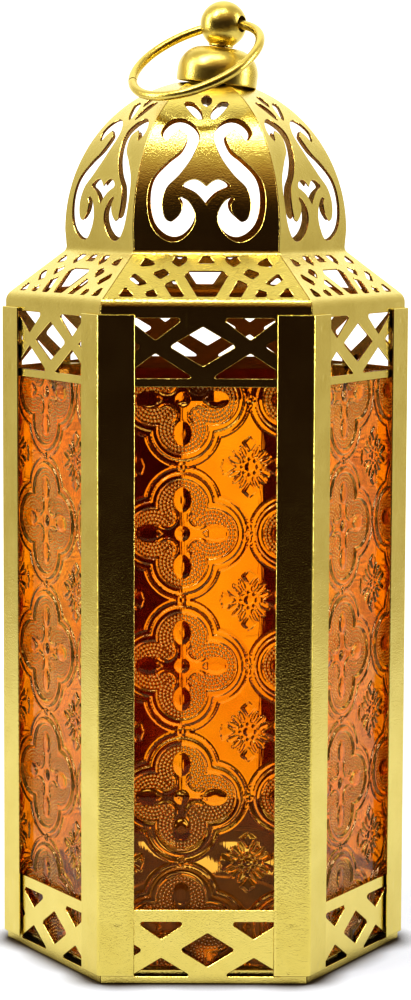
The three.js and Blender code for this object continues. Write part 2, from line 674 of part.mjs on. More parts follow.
function addStrips() {
  CORNER_NAMES.forEach((corner, i) => {
    const group = turnedGroup((i - 1) * TURN);
    const besideDoor = { rear_right: [STRIP_LEG, STRIP_DOOR_LEG], rear_left: [STRIP_DOOR_LEG, STRIP_LEG] };
    const legs = besideDoor[corner] ?? [STRIP_LEG, STRIP_LEG];
    add(group, `corner_strip_${corner}`, cornerStrip(...legs), GOLD);
  });
}

function addDoor() {
  const group = turnedGroup(REAR * TURN);
  const outside = LEAF_INSIDE - PANE_SEAT;
  const clip = { outside, tail: DOOR_CLIP_TAIL, shift: 0 };
  add(group, 'wall_rear', windowedWall(DOOR_OPENING_HALF_WIDTH), GOLD);
  add(group, 'door_leaf', doorLeaf(), GOLD);
  add(group, 'door_glass', glassPane(DOOR_PANE_HALF_WIDTH, DOOR_PANE_BOTTOM, DOOR_PANE_TOP, outside), AMBER);
  add(group, 'door_top_clip', paneClip({ ...clip, edge: DOOR_PANE_TOP, direction: 1 }), GOLD);
  add(group, 'door_foot_clip', paneClip({ ...clip, edge: DOOR_PANE_BOTTOM, direction: -1 }), GOLD);
  for (const [level, height] of Object.entries(HINGE_HEIGHTS)) {
    add(group, `hinge_bracket_${level}`, hingeBracket(height), STEEL);
    add(group, `hinge_pin_${level}`, hingePin(height), STEEL);
  }
  add(group, 'latch_button', latchButton(), STEEL);
  add(group, 'latch_rivet', latchRivet(), STEEL);
}

function addFinial() {
  const group = new THREE.Group();
  group.position.z = LEAN_PIVOT_Z;
  group.rotation.y = LEAN;
  lantern.add(group);
  add(group, 'finial_cap', finialCap(), FINIAL_GOLD);
  add(group, 'finial_ball', finialBall(), FINIAL_GOLD);
  add(group, 'finial_stud', finialStud(), STEEL);
  add(group, 'finial_washer', finialWasher(), STEEL);
  add(group, 'finial_nut', finialNut(), STEEL);
}

function addRing() {
  const level = Z.clone().cross(RING_AXIS).normalize().negate();
  const down = RING_AXIS.clone().cross(level).normalize();
  if (down.z > 0) down.negate();
  const hang = level.multiplyScalar(Math.cos(RING_DIP)).addScaledVector(down, Math.sin(RING_DIP));
  const ring = add(lantern, 'ring', wireRing(), FINIAL_GOLD);
  ring.position.copy(RING_AXIS_POINT);
  ring.setRotationFromMatrix(new THREE.Matrix4().makeBasis(RING_AXIS, hang, RING_AXIS.clone().cross(hang)));
}

add(lantern, 'base_pan', basePan(), GOLD);
add(lantern, 'candle_cup', candleCup(), STEEL);
addFaces();
addStrips();
addDoor();
addFinial();
addRing();

export default lantern;
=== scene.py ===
"""Looks of the moroccan metal lantern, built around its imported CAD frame.

Shapes are drawn in millimetres and become meshes in metres. Walls, strips, panes and clips are drawn
facing -Y, as the CAD draws them, and turned about Z in steps of 60 degrees.
"""
import math

import bpy
import numpy as np
from mathutils import Matrix, Vector
from mathutils.geometry import delaunay_2d_cdt


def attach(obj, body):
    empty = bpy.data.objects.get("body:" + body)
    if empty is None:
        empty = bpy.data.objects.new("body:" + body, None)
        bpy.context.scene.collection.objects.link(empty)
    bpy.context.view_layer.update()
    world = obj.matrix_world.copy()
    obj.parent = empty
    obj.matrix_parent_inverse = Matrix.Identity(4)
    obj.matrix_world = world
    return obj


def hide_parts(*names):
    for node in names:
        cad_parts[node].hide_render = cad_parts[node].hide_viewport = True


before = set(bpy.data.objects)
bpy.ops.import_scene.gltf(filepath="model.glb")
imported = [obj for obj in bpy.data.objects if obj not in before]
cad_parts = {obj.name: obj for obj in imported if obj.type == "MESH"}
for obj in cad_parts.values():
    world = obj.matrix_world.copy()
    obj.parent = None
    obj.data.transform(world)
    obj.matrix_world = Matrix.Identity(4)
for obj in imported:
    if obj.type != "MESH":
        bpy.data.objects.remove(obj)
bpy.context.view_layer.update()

# ---------------------------------------------------------------- dimensions (millimetres)

MM = 0.001
SIXTH = math.pi / 3
SIN_HALF, COS_HALF, TAN_HALF = math.sin(SIXTH / 2), math.cos(SIXTH / 2), math.tan(SIXTH / 2)
REAR = 3 * SIXTH              # turn of everything on the door's side
FACES = ["front", "front_right", "rear_right", "rear", "rear_left", "front_left"]
CORNERS = ["front_right", "right", "rear_right", "rear_left", "left", "front_left"]

SHEET = 0.5
EDGE = 0.14                   # width of the worn bevel along every cut edge
FINE_EDGE = 0.08              # the same along the edges of small parts
SHARP_ANGLE = math.radians(30)
WALL_APOTHEM = 47.5
WALL_SEAM = 0.04
SLOPE_FOOT_Z = 180.2
SLOPE_FOOT_BEND = 3.5
SLOPE_TOP = (33.0, 192.8)
SLOPE_TOP_BEND = 2.0
DOME_APOTHEM = 33.4
DOME_FOOT_Z = 198.0
DOME_RISE = 41.0
DOME_TIP_APOTHEM = 7.0

# Lengths along the flat sheet that a wall is bent from
SLOPE_LENGTH = math.hypot(WALL_APOTHEM - SLOPE_TOP[0], SLOPE_TOP[1] - SLOPE_FOOT_Z)
DOME_START = SLOPE_FOOT_Z + SLOPE_LENGTH
RISER = math.hypot(DOME_APOTHEM - SLOPE_TOP[0], DOME_FOOT_Z - SLOPE_TOP[1])
DOME_ELLIPSE_START = DOME_START + RISER
BENDS = [(SLOPE_FOOT_Z, SLOPE_FOOT_BEND), (DOME_START, SLOPE_TOP_BEND)]

LATTICE_PITCH = 12.3
LATTICE_LIMIT = 21.0
UPPER_LATTICE = dict(shift=-0.85, heights=(176.2, 170.5, 168.85, 167.1, 160.6),
                     halves=(7.5, 8.7, 9.1), diamond=5.15, lip=0.6)
LOWER_LATTICE = dict(shift=1.0, heights=(16.6, 12.0, 9.05, 6.9, 1.9),
                     halves=(6.8, 7.3, 7.1), diamond=4.55, lip=0.6)
WINDOW = (19.9, 158.35)
WINDOW_HALF_WIDTH = 20.5
DOOR_OPENING_HALF_WIDTH = 21.3
LATTICE_CORNER = 0.6
WINDOW_CORNER = 0.5
SLOPE_CORNER = 0.55
HOLE_STEP = 2.0               # longest side of a hole's outline
WALL_ROWS, BEND_ROWS, SLOPE_ROWS, DOME_ROWS = 30, 9, 9, 50
BEND_MARGINS = (2.5, 1.8, 2.0)           # kept clear above the lower bend, and around the upper one
GRID_PITCH = 1.1              # between the inner points of the bent part of a wall
GRID_CLEARANCE = 0.55         # from those points to every outline

STRIP_APOTHEM = 48.45
STRIP_SPAN = (2.15, 177.1)
STRIP_LEG = 9.5
STRIP_DOOR_LEG = 6.0
STRIP_FOLD = 1.3
STRIP_STEPS = (0.45, 4.0)     # longest side across the strip and up it
WELDS = [(0.4, 4.0), (-0.2, 16.4), (0.5, 160.6), (-0.6, 173.6)]    # shift across and height of each
WELD_SHARE = 0.55             # of the leg, from the fold to the welds
WELD_RADIUS = 0.75
WELD_DEPTH = 0.08
WELD_ROWS = (-1.6, 1.61, 0.32)           # heights about a weld's middle: first, end and step

PANE_THICKNESS = 3.0
PANE_OUTSIDE = 46.6
PANE_HALF_WIDTH = 24.0
PANE_SPAN = (4.4, 159.2)
PANE_STEP = 0.29              # between neighbouring vertices
PANE_BORDER = 0.4             # width over which the pattern runs out at the pane's edge

LEAF_INSIDE = STRIP_APOTHEM + 0.3
LEAF_SPAN = (18.6, 159.65)
LEAF_EDGES = (-23.1, 22.9)
LEAF_WINDOW = (-16.9, 6.4)
LEAF_WINDOW_SPAN = (29.5, 148.0)
LEAF_CORNER = 0.8
LEAF_STEP = 4.0               # longest side of its outlines
DOOR_PANE_OUTSIDE = LEAF_INSIDE - 0.4
DOOR_PANE_HALF_WIDTH = 20.3
DOOR_PANE_SPAN = (21.4, 157.2)
HINGE_X = 24.9
HINGE_BARREL = 1.6
HINGE_BORE = 1.08             # inside radius of the barrel
HINGE_DISTANCE = LEAF_INSIDE + HINGE_BARREL
HINGE_HEIGHTS = dict(lower=38.0, upper=140.0)
HINGE_PLATE_ENDS = dict(door=LEAF_EDGES[0] + 0.9, bracket=-27.4)
KNUCKLE_LENGTH = 7.0
KNUCKLE_TURN = 322            # degrees of the roll
KNUCKLE_EDGE = 0.12
KNUCKLE_RISE = 0.3            # of the door's knuckles above the hinge's height
PIN_PROUD = 0.6               # how far the pins reach past the knuckles

CLIP_HALF_WIDTH = 3.0
CLIP_GAP = 0.3                # between clip and pane
CLIP_SEAT = 0.1               # how far the tail's face stands outside the pane's
CLIP_LIP = 5.0
CLIP_TAILS = dict(top=3.0, foot=2.7)
DOOR_CLIP_TAIL = 1.0
CLIP_BEND = 0.25

LATCH = (25.6, 88.0)
LATCH_SHEET = 0.6
LATCH_HEAD = 2.1
LATCH_TIP = 1.3
LATCH_REACH = 7.7
LATCH_BORE = 1.15
LATCH_GAP = 0.3               # on both sides of the latch

LEAN = math.radians(6.6)
LEAN_PIVOT_Z = 214.0
CAP_FOOT = 23.8               # heights along the leaning axis, from its pivot
CAP_SHOULDER = CAP_FOOT + 3.0
CAP_RISE = 6.9
CAP_FLAT = 4.4                # radius where the crown's arc begins
CAP_SHEET = 0.7
BORE = 2.3                    # radius of the hole for the stud
NECK_FOOT = CAP_FOOT + 10.2
BALL_CENTRE = 40.0
BALL_RADIUS = 6.3
RING_RADIUS = 18.12
WIRE_RADIUS = 1.25
WIRE_BEVEL = (0.22, 0.16)     # of the wire's ends: inwards and along
WIRE_JOINT = math.radians(151)
WIRE_HALF_GAP = 0.09
RING_HOLE = 2.2
RING_HOLE_DROP = 0.4
RING_HOLE_BEARING = math.radians(-32.7)
RING_HOLE_RISE = math.radians(3.8)
RING_DIP = math.radians(33.3)
RING_BOW = 0.5

# Openings of the slope as (across, distance up the slope): two in the middle, then the right half
SLOPE_MIDDLE = [
    [(-1, 17.7), (-2.4, 15), (2.4, 15), (1, 17.7)],
    [(-4.3, 12), (-5.7, 10.3), (-2.4, 2.4), (2.4, 2.4), (5.7, 10.3), (4.3, 12)],
]
SLOPE_SIDE = [
    [(4.8, 17.5), (5.5, 15.2), (7.2, 13.6), (9, 15.4), (8.2, 17.6)],
    [(13.2, 15), (14.2, 14.1), (17.6, 13.7), (16, 17.2)],
    [(9.5, 11.1), (12, 8.9), (14.1, 11.1), (11, 12.8)],
    [(15.2, 7.4), (17.5, 6.4), (20.1, 9.1), (18.7, 11.1)],
    [(5.6, 2.3), (9, 2.3), (10.9, 6.75), (8.25, 8.7)],
    [(12.4, 2.3), (15.3, 2.3), (15.9, 3.8), (13.6, 5)],
    [(18.5, 2.3), (22.9, 2.3), (21.1, 6)],
]
# Scroll of the dome's right half: (across, length up the sheet, half width) along its middle line
SCROLL = [
    (10.4, 30.5, 0.5), (10.5, 33, 1.5), (7.2, 35.65, 1.95), (3.6, 32.6, 1.65), (5.1, 26.8, 1.65),
    (8.7, 22.4, 2.3), (12.5, 18, 2.2), (13.6, 12.2, 1.9), (12.1, 7.1, 2.1), (8.6, 5.4, 2.65),
    (5.1, 8.9, 2.2), (5.4, 12.6, 1.05), (6.9, 14.3, 0.4),
]
HEART = [
    (0, 12.5), (1.4, 14.2), (2.8, 15.5), (4.4, 16.4), (6.2, 17.3), (6, 18), (4.8, 18.9), (3, 19.3),
    (1.5, 18.7), (0, 17.4),
]
LEAF = [
    (1.2, 37.6), (2, 37.4), (3.2, 38.4), (4.6, 40.5), (5.9, 43.4), (5.4, 44), (3.9, 43.9), (2.5, 42.5),
    (1.4, 40.4),
]
TEARDROP = [(0, 42.1), (1, 43.2), (1.4, 45), (0.9, 46.6), (0, 47.1)]
FOLD_DEPTH = 0.14             # outline points deeper inside the scroll belong to a fold and are left out
FOLD_SMOOTHING = 14           # passes that round the outline where a fold was
FOLD_REACH = 1.2              # distance from a fold at which that rounding fades

# Pressed pattern of the glass
RELIEF = 0.5                  # its height
DOOR_RELIEF = 0.25            # share of it that the door's pane has
DOOR_MARKS = 0.25             # share of the beads and of the painted highlights that it has
PITCH = 35.0
QUATREFOIL = (-6.0, 155.0)    # middle of one quatrefoil on a pane
LOBE = 7.6                    # from there to the middle of each lobe
OVAL = (8.8, 3.0, 2.1)        # distance of an oval from the middle, and its half length and half width
NOOK = 4.1                    # both coordinates of the middle of the curved ridge between two lobes
WEDGE = (5.2, 6.7)            # distances between which the side lobes' wedges widen
WEDGE_HALVES = (0.01, 1.4)
WEDGE_SHARE = 0.9
BEADED_RADIUS = 6.2           # of a lobe's beaded part
# Ridges: share of the full height, distance of the middle line from the figure's own, half width
LOBE_BAND = (1.0, 7.45, 0.95)
LOBE_LINE = (0.5, 9.8, 0.42)
NOOK_RIDGE = (0.55, 2.6, 0.45)
OVAL_TOP = (0.6, 0.0, 1.0)
MIDDLE_DISC = (0.6, 0.0, 1.75)
DAISY_DISC = (0.5, 0.0, 1.25)
DAISY_BEAD = (0.6, 0.0, 0.42)
SMALL_RING = (0.8, 0.62, 0.36)
DAISY_BEAD_CIRCLE = 2.05      # radius on which the daisy's beads lie
DAISY_SHARE = 0.75            # height of its petals and fans
PETAL = (2.7, 3.3, 0.68)      # distance of the foot, length and half width
PETAL_BEARINGS = (24, 45, 66)
UPRIGHT_FAN = ((4.0, 6.4, 8.0), 2.1)     # distances of foot, widest part and tip, and half width
LEVEL_FAN = ((3.5, 6.8, 7.5), 2.5)
FLANK_SLOPE = 0.7             # slope of the pattern, in heights for each millimetre, where a flank begins
BEAD_PITCH = 0.95
BEAD_RADIUS = 0.44
BEAD_HEIGHT = 0.2

# (radius, height) or (apothem, height) outlines of turned and flanged parts
WASHER = [(BORE, 21.0), (2.4, 20.9), (8.35, 20.9), (8.5, 21.05), (8.5, 21.55), (8.35, 21.7), (2.4, 21.7),
          (BORE, 21.6)]
NUT = [(BORE, 18.2), (2.55, 18.0), (3.5, 18.0), (4.0, 18.35), (4.0, 20.25), (3.5, 20.6), (2.55, 20.6),
       (BORE, 20.4)]
NUT_RADIUS = 4.0              # to its corners
PAN = [(44.9, 0.0), (45.3, 0.12), (45.52, 0.35), (45.6, 0.7), (45.6, 3.1), (45.5, 3.2), (45.1, 3.2),
       (45.0, 3.1), (45.0, 0.95), (44.85, 0.7), (44.5, 0.6)]
PAN_CORNER = 1.6
CUP = [(0, 0.9), (19.8, 0.9), (20.5, 1.05), (20.85, 1.4), (21.0, 2.0), (21.0, 12.0), (21.15, 12.3),
       (21.5, 12.4), (21.85, 12.45), (22.0, 12.65), (21.85, 12.85), (21.5, 12.9), (20.9, 12.8),
       (20.55, 12.45), (20.5, 12.0), (20.5, 2.1), (20.35, 1.7), (20.0, 1.48), (19.6, 1.4), (0, 1.4)]

# ---------------------------------------------------------------- camera, light and colours

CAMERA_PLACE = (-4.0, -797.6, 212.3)     # millimetres
CAMERA_TURNS = (0.304, 6.338, 0.236)     # degrees to the right, down and anticlockwise
CAMERA_LENS = 104.44

# Name, width and height, power, place and target, in metres and watts
LIGHTS = [
    ("left_strip_light", (0.14, 0.9), 3.2, (-1.0, -0.08, 0.45), (0, 0, 0.15)),
    ("right_strip_light", (0.14, 0.9), 3.2, (1.0, -0.08, 0.45), (0, 0, 0.15)),
    ("key_light", (0.35, 0.35), 3.2, (-0.75, -0.55, 1.15), (0, 0, 0.22)),
    ("softbox", (1.1, 0.2), 5.2, (-0.3, -0.48, 1.43), (-0.3, 0, 0.22)),
]

# Colour by height of the direction: 0 is straight down, 0.5 the horizon, 1 straight up
FRONT_RAMP = [
    (0.0, (0.052, 0.030, 0.027)), (0.62, (0.023, 0.0135, 0.011)), (0.69, (0.05, 0.026, 0.014)),
    (0.765, (0.24, 0.14, 0.09)), (0.84, (0.44, 0.32, 0.22)), (0.90, (0.58, 0.52, 0.40)),
    (0.975, (0.42, 0.38, 0.32)), (1.0, (0.27, 0.235, 0.19)),
]
AROUND_RAMP = [
    (0.0, (0.44, 0.41, 0.36)), (0.5, (0.49, 0.46, 0.40)), (0.65, (0.53, 0.50, 0.44)),
    (0.8, (0.54, 0.51, 0.46)), (1.0, (0.46, 0.43, 0.38)),
]
FRONT_SECTOR = (0.1, 0.55)    # cosines of the bearing between which the front's colours come in
BACK_SECTOR = (0.62, 0.85)
BACK_COLOUR = (1.0, 0.99, 0.96)
BACKDROP = 1.05               # brightness of the world as the camera sees it

FLOOR_X = (-0.45, 0.45)       # metres
FLOOR_Y = (-0.28, 0.45)
FLOOR_Z = -0.0002
FLOOR_SHADE = 8.0             # millimetres around the lantern over which a contact shadow is painted on the paper
FLOOR_GLOW = 0.46
PAPER_SHADED = (0.10, 0.08, 0.06)
PAPER = (0.42, 0.42, 0.42)
PAPER_GLOW = (0.83, 0.88, 1, 1)

GOLD_TONES = ((0.77, 0.64, 0.19), (0.72, 0.59, 0.16))
FINIAL_TONES = ((0.79, 0.64, 0.18), (0.74, 0.59, 0.15))
# warm dark brown painted as shade on the sheets' cut edges and, mostly, on their insides
CUT_EDGE_SHADE = (0.42, 0.19, 0.05)
INSIDE_SHADE = 0.85             # share of the painted edge shade on the inside of a sheet
STEEL_TONES = ((0.62, 0.57, 0.42), (0.46, 0.42, 0.30))
STEEL_SPANGLE = (0.36, 0.33, 0.25)
AMBER_LIGHT = (0.98, 0.60, 0.10)
AMBER_DEEP = (0.96, 0.46, 0.07)
AMBER_BEAD = (0.3, 0.04, 0.005)
# colour of the painted highlight on bead tops and steep flanks
AMBER_HIGHLIGHT = (1.0, 0.63, 0.23)
AMBER_GLOSS = (1.0, 0.66, 0.36, 1)
FLANK_HIGHLIGHT = 0.3             # share of the painted cream highlight on the steepest flanks, where a bead's top has 1
HIGHLIGHT_TRANSMISSION_LOSS = 0.7              # share of the transmission that the full painted highlight takes away

# ---------------------------------------------------------------- node trees


class Nodes:
    """Short ways to add nodes to a tree; a value is a socket, a number or a colour."""

    def __init__(self, tree):
        self.tree = tree

    def feed(self, socket, value):
        if isinstance(value, tuple):
            socket.default_value = (*value, 1)
        elif isinstance(value, (int, float)):
            socket.default_value = value
        else:
            self.tree.links.new(value, socket)

    def math(self, operation, *values):
        node = self.tree.nodes.new("ShaderNodeMath")
        node.operation = operation
        for socket, value in zip(node.inputs, values):
            self.feed(socket, value)
        return node.outputs[0]

    def mix(self, factor, first, second):
        node = self.tree.nodes.new("ShaderNodeMix")
        node.data_type = "RGBA"
        for index, value in ((0, factor), (6, first), (7, second)):
            self.feed(node.inputs[index], value)
        return node.outputs[2]

    def ramp(self, value, stops):
        node = self.tree.nodes.new("ShaderNodeValToRGB")
        elements = node.color_ramp.elements
        while len(elements) < len(stops):
            elements.new(0.5)
        for element, (position, colour) in zip(elements, stops):
            element.position = position
            element.color = (*colour, 1)
        self.tree.links.new(value, node.inputs[0])
        return node.outputs[0]

    def rise(self, value, low, high):
        """0 up to the low value, 1 from the high one."""
        return self.ramp(value, [(low, (0, 0, 0)), (high, (1, 1, 1))])

    def split(self, vector):
        node = self.tree.nodes.new("ShaderNodeSeparateXYZ")
        self.tree.links.new(vector, node.inputs[0])
        return node.outputs


class Surface(Nodes):
    """One material's nodes, in object coordinates (metres)."""

    def __init__(self, name):
        self.material = bpy.data.materials.new(name)
        self.material.use_nodes = True
        super().__init__(self.material.node_tree)
        self.shader = self.tree.nodes["Principled BSDF"]
        self.place = self.tree.nodes.new("ShaderNodeTexCoord").outputs["Object"]

    def link(self, output, socket):
        self.tree.links.new(output, self.shader.inputs[socket])

    def set(self, **values):
        for name, value in values.items():
            self.shader.inputs[name.replace("_", " ")].default_value = value

    def attribute(self, name, output="Fac"):
        node = self.tree.nodes.new("ShaderNodeAttribute")
        node.attribute_name = name
        return node.outputs[output]

    def noise(self, size, detail, stretch=None):
        """Noise whose features are about the given size in millimetres."""
        node = self.tree.nodes.new("ShaderNodeTexNoise")
        node.inputs["Scale"].default_value = 1 / (size * MM)
        node.inputs["Detail"].default_value = detail
        place = self.place
        if stretch:
            mapping = self.tree.nodes.new("ShaderNodeMapping")
            mapping.inputs["Scale"].default_value = stretch
            self.tree.links.new(place, mapping.inputs[0])
            place = mapping.outputs[0]
        self.tree.links.new(place, node.inputs["Vector"])
        return node.outputs["Fac"]

    def cells(self, size):
        node = self.tree.nodes.new("ShaderNodeTexVoronoi")
        node.feature = "F1"
        node.inputs["Scale"].default_value = 1 / (size * MM)
        self.tree.links.new(self.place, node.inputs["Vector"])
        return node.outputs["Distance"]

    def bump(self, height, distance, below=None):
        """Bump whose height input of 1 stands the given number of millimetres proud."""
        node = self.tree.nodes.new("ShaderNodeBump")
        node.inputs["Distance"].default_value = distance * MM
        self.tree.links.new(height, node.inputs["Height"])
        if below is not None:
            self.tree.links.new(below, node.inputs["Normal"])
        return node.outputs[0]


# ---------------------------------------------------------------- camera, world, lights and floor


def add_to_scene(name, data):
    obj = bpy.data.objects.new(name, data)
    bpy.context.scene.collection.objects.link(obj)
    return obj


def make_camera():
    yaw, pitch, roll = (math.radians(degrees) for degrees in CAMERA_TURNS)
    ahead = Vector((math.sin(yaw) * math.cos(pitch), math.cos(yaw) * math.cos(pitch), -math.sin(pitch)))
    level = Vector((math.cos(yaw), -math.sin(yaw), 0))
    above = level.cross(ahead)
    right = level * math.cos(roll) + above * math.sin(roll)
    up = above * math.cos(roll) - level * math.sin(roll)
    camera = bpy.data.cameras.new("camera")
    camera.lens = CAMERA_LENS
    camera.sensor_width = 36
    camera.clip_start = 0.05
    camera.clip_end = 50
    obj = add_to_scene("camera", camera)
    facing = Matrix((right, up, -ahead)).transposed().to_4x4()
    obj.matrix_world = Matrix.Translation(Vector(CAMERA_PLACE) * MM) @ facing
    bpy.context.scene.camera = obj


def make_world():
    """White all round for the camera; for reflections, a dark room in front below a bright ceiling."""
    world = bpy.data.worlds.new("studio")
    bpy.context.scene.world = world
    world.use_nodes = True
    tree = world.node_tree
    tree.nodes.clear()
    nodes = Nodes(tree)
    _, y, z = nodes.split(tree.nodes.new("ShaderNodeTexCoord").outputs["Generated"])
    flat = nodes.math("SQRT", nodes.math("SUBTRACT", 1.0001, nodes.math("MULTIPLY", z, z)))
    frontness = nodes.math("DIVIDE", nodes.math("MULTIPLY", y, -1.0), flat)
    height = nodes.math("MULTIPLY_ADD", z, 0.5, 0.5)
    front, around = nodes.ramp(height, FRONT_RAMP), nodes.ramp(height, AROUND_RAMP)
    room = nodes.mix(nodes.rise(frontness, *FRONT_SECTOR), around, front)
    behind = nodes.rise(nodes.math("MULTIPLY", frontness, -1.0), *BACK_SECTOR)
    lit = tree.nodes.new("ShaderNodeBackground")
    tree.links.new(nodes.mix(behind, room, BACK_COLOUR), lit.inputs["Color"])
    white = tree.nodes.new("ShaderNodeBackground")
    white.inputs["Color"].default_value = (1, 1, 1, 1)
    white.inputs["Strength"].default_value = BACKDROP
    seen = tree.nodes.new("ShaderNodeLightPath").outputs["Is Camera Ray"]
    mixed = tree.nodes.new("ShaderNodeMixShader")
    for output, socket in zip((seen, lit.outputs[0], white.outputs[0]), mixed.inputs):
        tree.links.new(output, socket)
    tree.links.new(mixed.outputs[0], tree.nodes.new("ShaderNodeOutputWorld").inputs[0])


def make_light(name, size, power, position, target):
    light = bpy.data.lights.new(name, "AREA")
    light.shape = "RECTANGLE"
    light.size, light.size_y = size
    light.energy = power
    obj = add_to_scene(name, light)
    obj.location = position
    obj.rotation_euler = (Vector(target) - Vector(position)).to_track_quat("-Z", "Y").to_euler()
    obj.visible_camera = False


def floor_material():
    """White paper that glows a little, with a contact shadow painted where the lantern stands close on it.
    """
    nodes = Surface("paper_floor")
    close = nodes.tree.nodes.new("ShaderNodeAmbientOcclusion")
    close.inputs["Distance"].default_value = FLOOR_SHADE * MM
    # painted contact shadow: the glow and the paper's colour drop where the lantern is near
    unshadowed_share = nodes.rise(close.outputs["AO"], 0.5, 1.0)
    nodes.link(nodes.math("MULTIPLY", unshadowed_share, FLOOR_GLOW), "Emission Strength")
    nodes.link(nodes.mix(unshadowed_share, PAPER_SHADED, PAPER), "Base Color")
    nodes.set(Emission_Color=PAPER_GLOW, Roughness=0.9, Specular_IOR_Level=0.1)
    return nodes.material


def make_floor():
    mesh = bpy.data.meshes.new("floor")
    corners = [(FLOOR_X[i], FLOOR_Y[j], 0) for i, j in ((0, 0), (1, 0), (1, 1), (0, 1))]
    mesh.from_pydata(corners, [], [(0, 1, 2, 3)])
    mesh.materials.append(floor_material())
    floor = add_to_scene("floor", mesh)
    floor.location.z = FLOOR_Z


# ---------------------------------------------------------------- materials


def gold_material(name, tones, roughness, grain_depth, peel_depth):
    """Satin lacquered metal: soft clouding, fine grain, orange peel, slow waves, faint scratches, dust,
    a painted highlight on sharp edges, and painted shade in brown where the sheets' "cut" attribute says
    so."""
    nodes = Surface(name)
    colour, shade = tones
    clouds = nodes.noise(9, 3)
    grain = nodes.noise(0.42, 2)
    peel = nodes.noise(0.8, 2, (0.75, 0.75, 1.3))
    specks = nodes.rise(nodes.noise(0.9, 1), 0.70, 0.78)
    scratches = nodes.rise(nodes.noise(0.6, 2, (1, 1, 0.06)), 0.66, 0.74)
    # painted highlight: the colour lightens along sharp convex edges
    edge_highlight = nodes.rise(nodes.tree.nodes.new("ShaderNodeNewGeometry").outputs["Pointiness"], 0.52, 0.58)
    dusty = tuple(c * 0.55 for c in colour)
    highlight_colour = tuple(min(1, c * 1.15 + 0.05) for c in colour)
    tone = nodes.mix(nodes.rise(clouds, 0.35, 0.65), shade, colour)
    tone = nodes.mix(nodes.math("MULTIPLY", specks, 0.25), tone, dusty)
    tone = nodes.mix(nodes.math("MULTIPLY", edge_highlight, 0.35), tone, highlight_colour)
    # painted shade: brown where the "cut" attribute marks cut edges and insides
    tone = nodes.mix(nodes.rise(nodes.attribute("cut"), 0.6, 1.0), tone, CUT_EDGE_SHADE)
    nodes.link(tone, "Base Color")
    nodes.set(Metallic=1.0)
    rough = nodes.math("MULTIPLY_ADD", clouds, 0.08, roughness - 0.04)
    rough = nodes.math("MULTIPLY_ADD", scratches, 0.06, rough)
    rough = nodes.math("MULTIPLY_ADD", grain, 0.06, rough)
    nodes.link(rough, "Roughness")
    waves = nodes.bump(nodes.noise(14, 1), 0.04)
    rolled = nodes.bump(peel, peel_depth, waves)
    fine = nodes.bump(grain, grain_depth, rolled)
    nodes.link(nodes.bump(scratches, 0.002, fine), "Normal")
    return nodes.material


def steel_material():
    """Dull zinc plating with a faint yellow passivation and small spangles."""
    nodes = Surface("plated_steel")
    light, dark = STEEL_TONES
    clouds = nodes.noise(4, 3)
    tone = nodes.mix(nodes.rise(clouds, 0.3, 0.7), dark, light)
    tone = nodes.mix(nodes.math("MULTIPLY", nodes.cells(1.6), 0.4), tone, STEEL_SPANGLE)
    nodes.link(tone, "Base Color")
    nodes.set(Metallic=1.0)
    nodes.link(nodes.math("MULTIPLY_ADD", clouds, 0.2, 0.26), "Roughness")
    nodes.link(nodes.bump(nodes.noise(0.5, 2), 0.012), "Normal")
    return nodes.material


def bead_height(nodes):
    """Beads in rings about each lobe's middle, from the place and the mask that the panes carry."""
    x, z, mask = nodes.split(nodes.attribute("beads", "Vector"))
    radius = nodes.math("SQRT", nodes.math("MULTIPLY_ADD", x, x, nodes.math("MULTIPLY", z, z)))
    row = nodes.math("ROUND", nodes.math("DIVIDE", radius, BEAD_PITCH))
    ring = nodes.math("MAXIMUM", nodes.math("MULTIPLY", row, BEAD_PITCH), 0.01)
    count = nodes.math("ROUND", nodes.math("MULTIPLY", ring, 2 * math.pi / BEAD_PITCH))
    turns = nodes.math("MULTIPLY", nodes.math("ARCTAN2", z, x), 1 / (2 * math.pi))
    phase = nodes.math("MULTIPLY", turns, count)
    aside = nodes.math("SUBTRACT", phase, nodes.math("ROUND", phase))
    along = nodes.math("MULTIPLY", aside, BEAD_PITCH)
    out = nodes.math("SUBTRACT", radius, ring)
    square = nodes.math("MULTIPLY_ADD", along, along, nodes.math("MULTIPLY", out, out))
    dome = nodes.math("MULTIPLY_ADD", square, -1 / BEAD_RADIUS**2, 1.0)
    return nodes.math("MULTIPLY", nodes.math("MAXIMUM", dome, 0.0), mask)


def amber_material():
    """Amber glass, tinted a little unevenly, with drawing lines and dark beads; a cream highlight is
    painted, half matt, on the beads' tops and along the pattern's steep flanks."""
    nodes = Surface("amber_glass")
    beads = bead_height(nodes)
    streaks = nodes.noise(3, 2, (1, 1, 0.15))
    tone = nodes.mix(nodes.rise(nodes.noise(30, 2), 0.3, 0.7), AMBER_DEEP, AMBER_LIGHT)
    tone = nodes.mix(nodes.math("MULTIPLY", streaks, 0.15), tone, AMBER_DEEP)
    tone = nodes.mix(nodes.math("MULTIPLY", beads, 0.9), tone, AMBER_BEAD)
    flanks = nodes.math("MULTIPLY", nodes.attribute("flanks"), FLANK_HIGHLIGHT)
    # painted highlight: cream, half-matt colour on bead tops and steep flanks, standing in for light caught
    # there
    painted_highlight = nodes.math("MAXIMUM", nodes.rise(beads, 0.6, 0.85), flanks)
    nodes.link(nodes.mix(painted_highlight, tone, AMBER_HIGHLIGHT), "Base Color")
    nodes.link(nodes.math("MULTIPLY_ADD", painted_highlight, -HIGHLIGHT_TRANSMISSION_LOSS, 1.0), "Transmission Weight")
    nodes.set(IOR=1.52, Specular_IOR_Level=0.25, Specular_Tint=AMBER_GLOSS)
    nodes.link(nodes.math("MULTIPLY_ADD", nodes.noise(1.2, 2), 0.03, 0.02), "Roughness")
    drawn = nodes.bump(nodes.noise(0.38, 1, (1, 1, 0.05)), 0.01)
    nodes.link(nodes.bump(beads, BEAD_HEIGHT, drawn), "Normal")
    return nodes.material


# ---------------------------------------------------------------- shapes and pieces


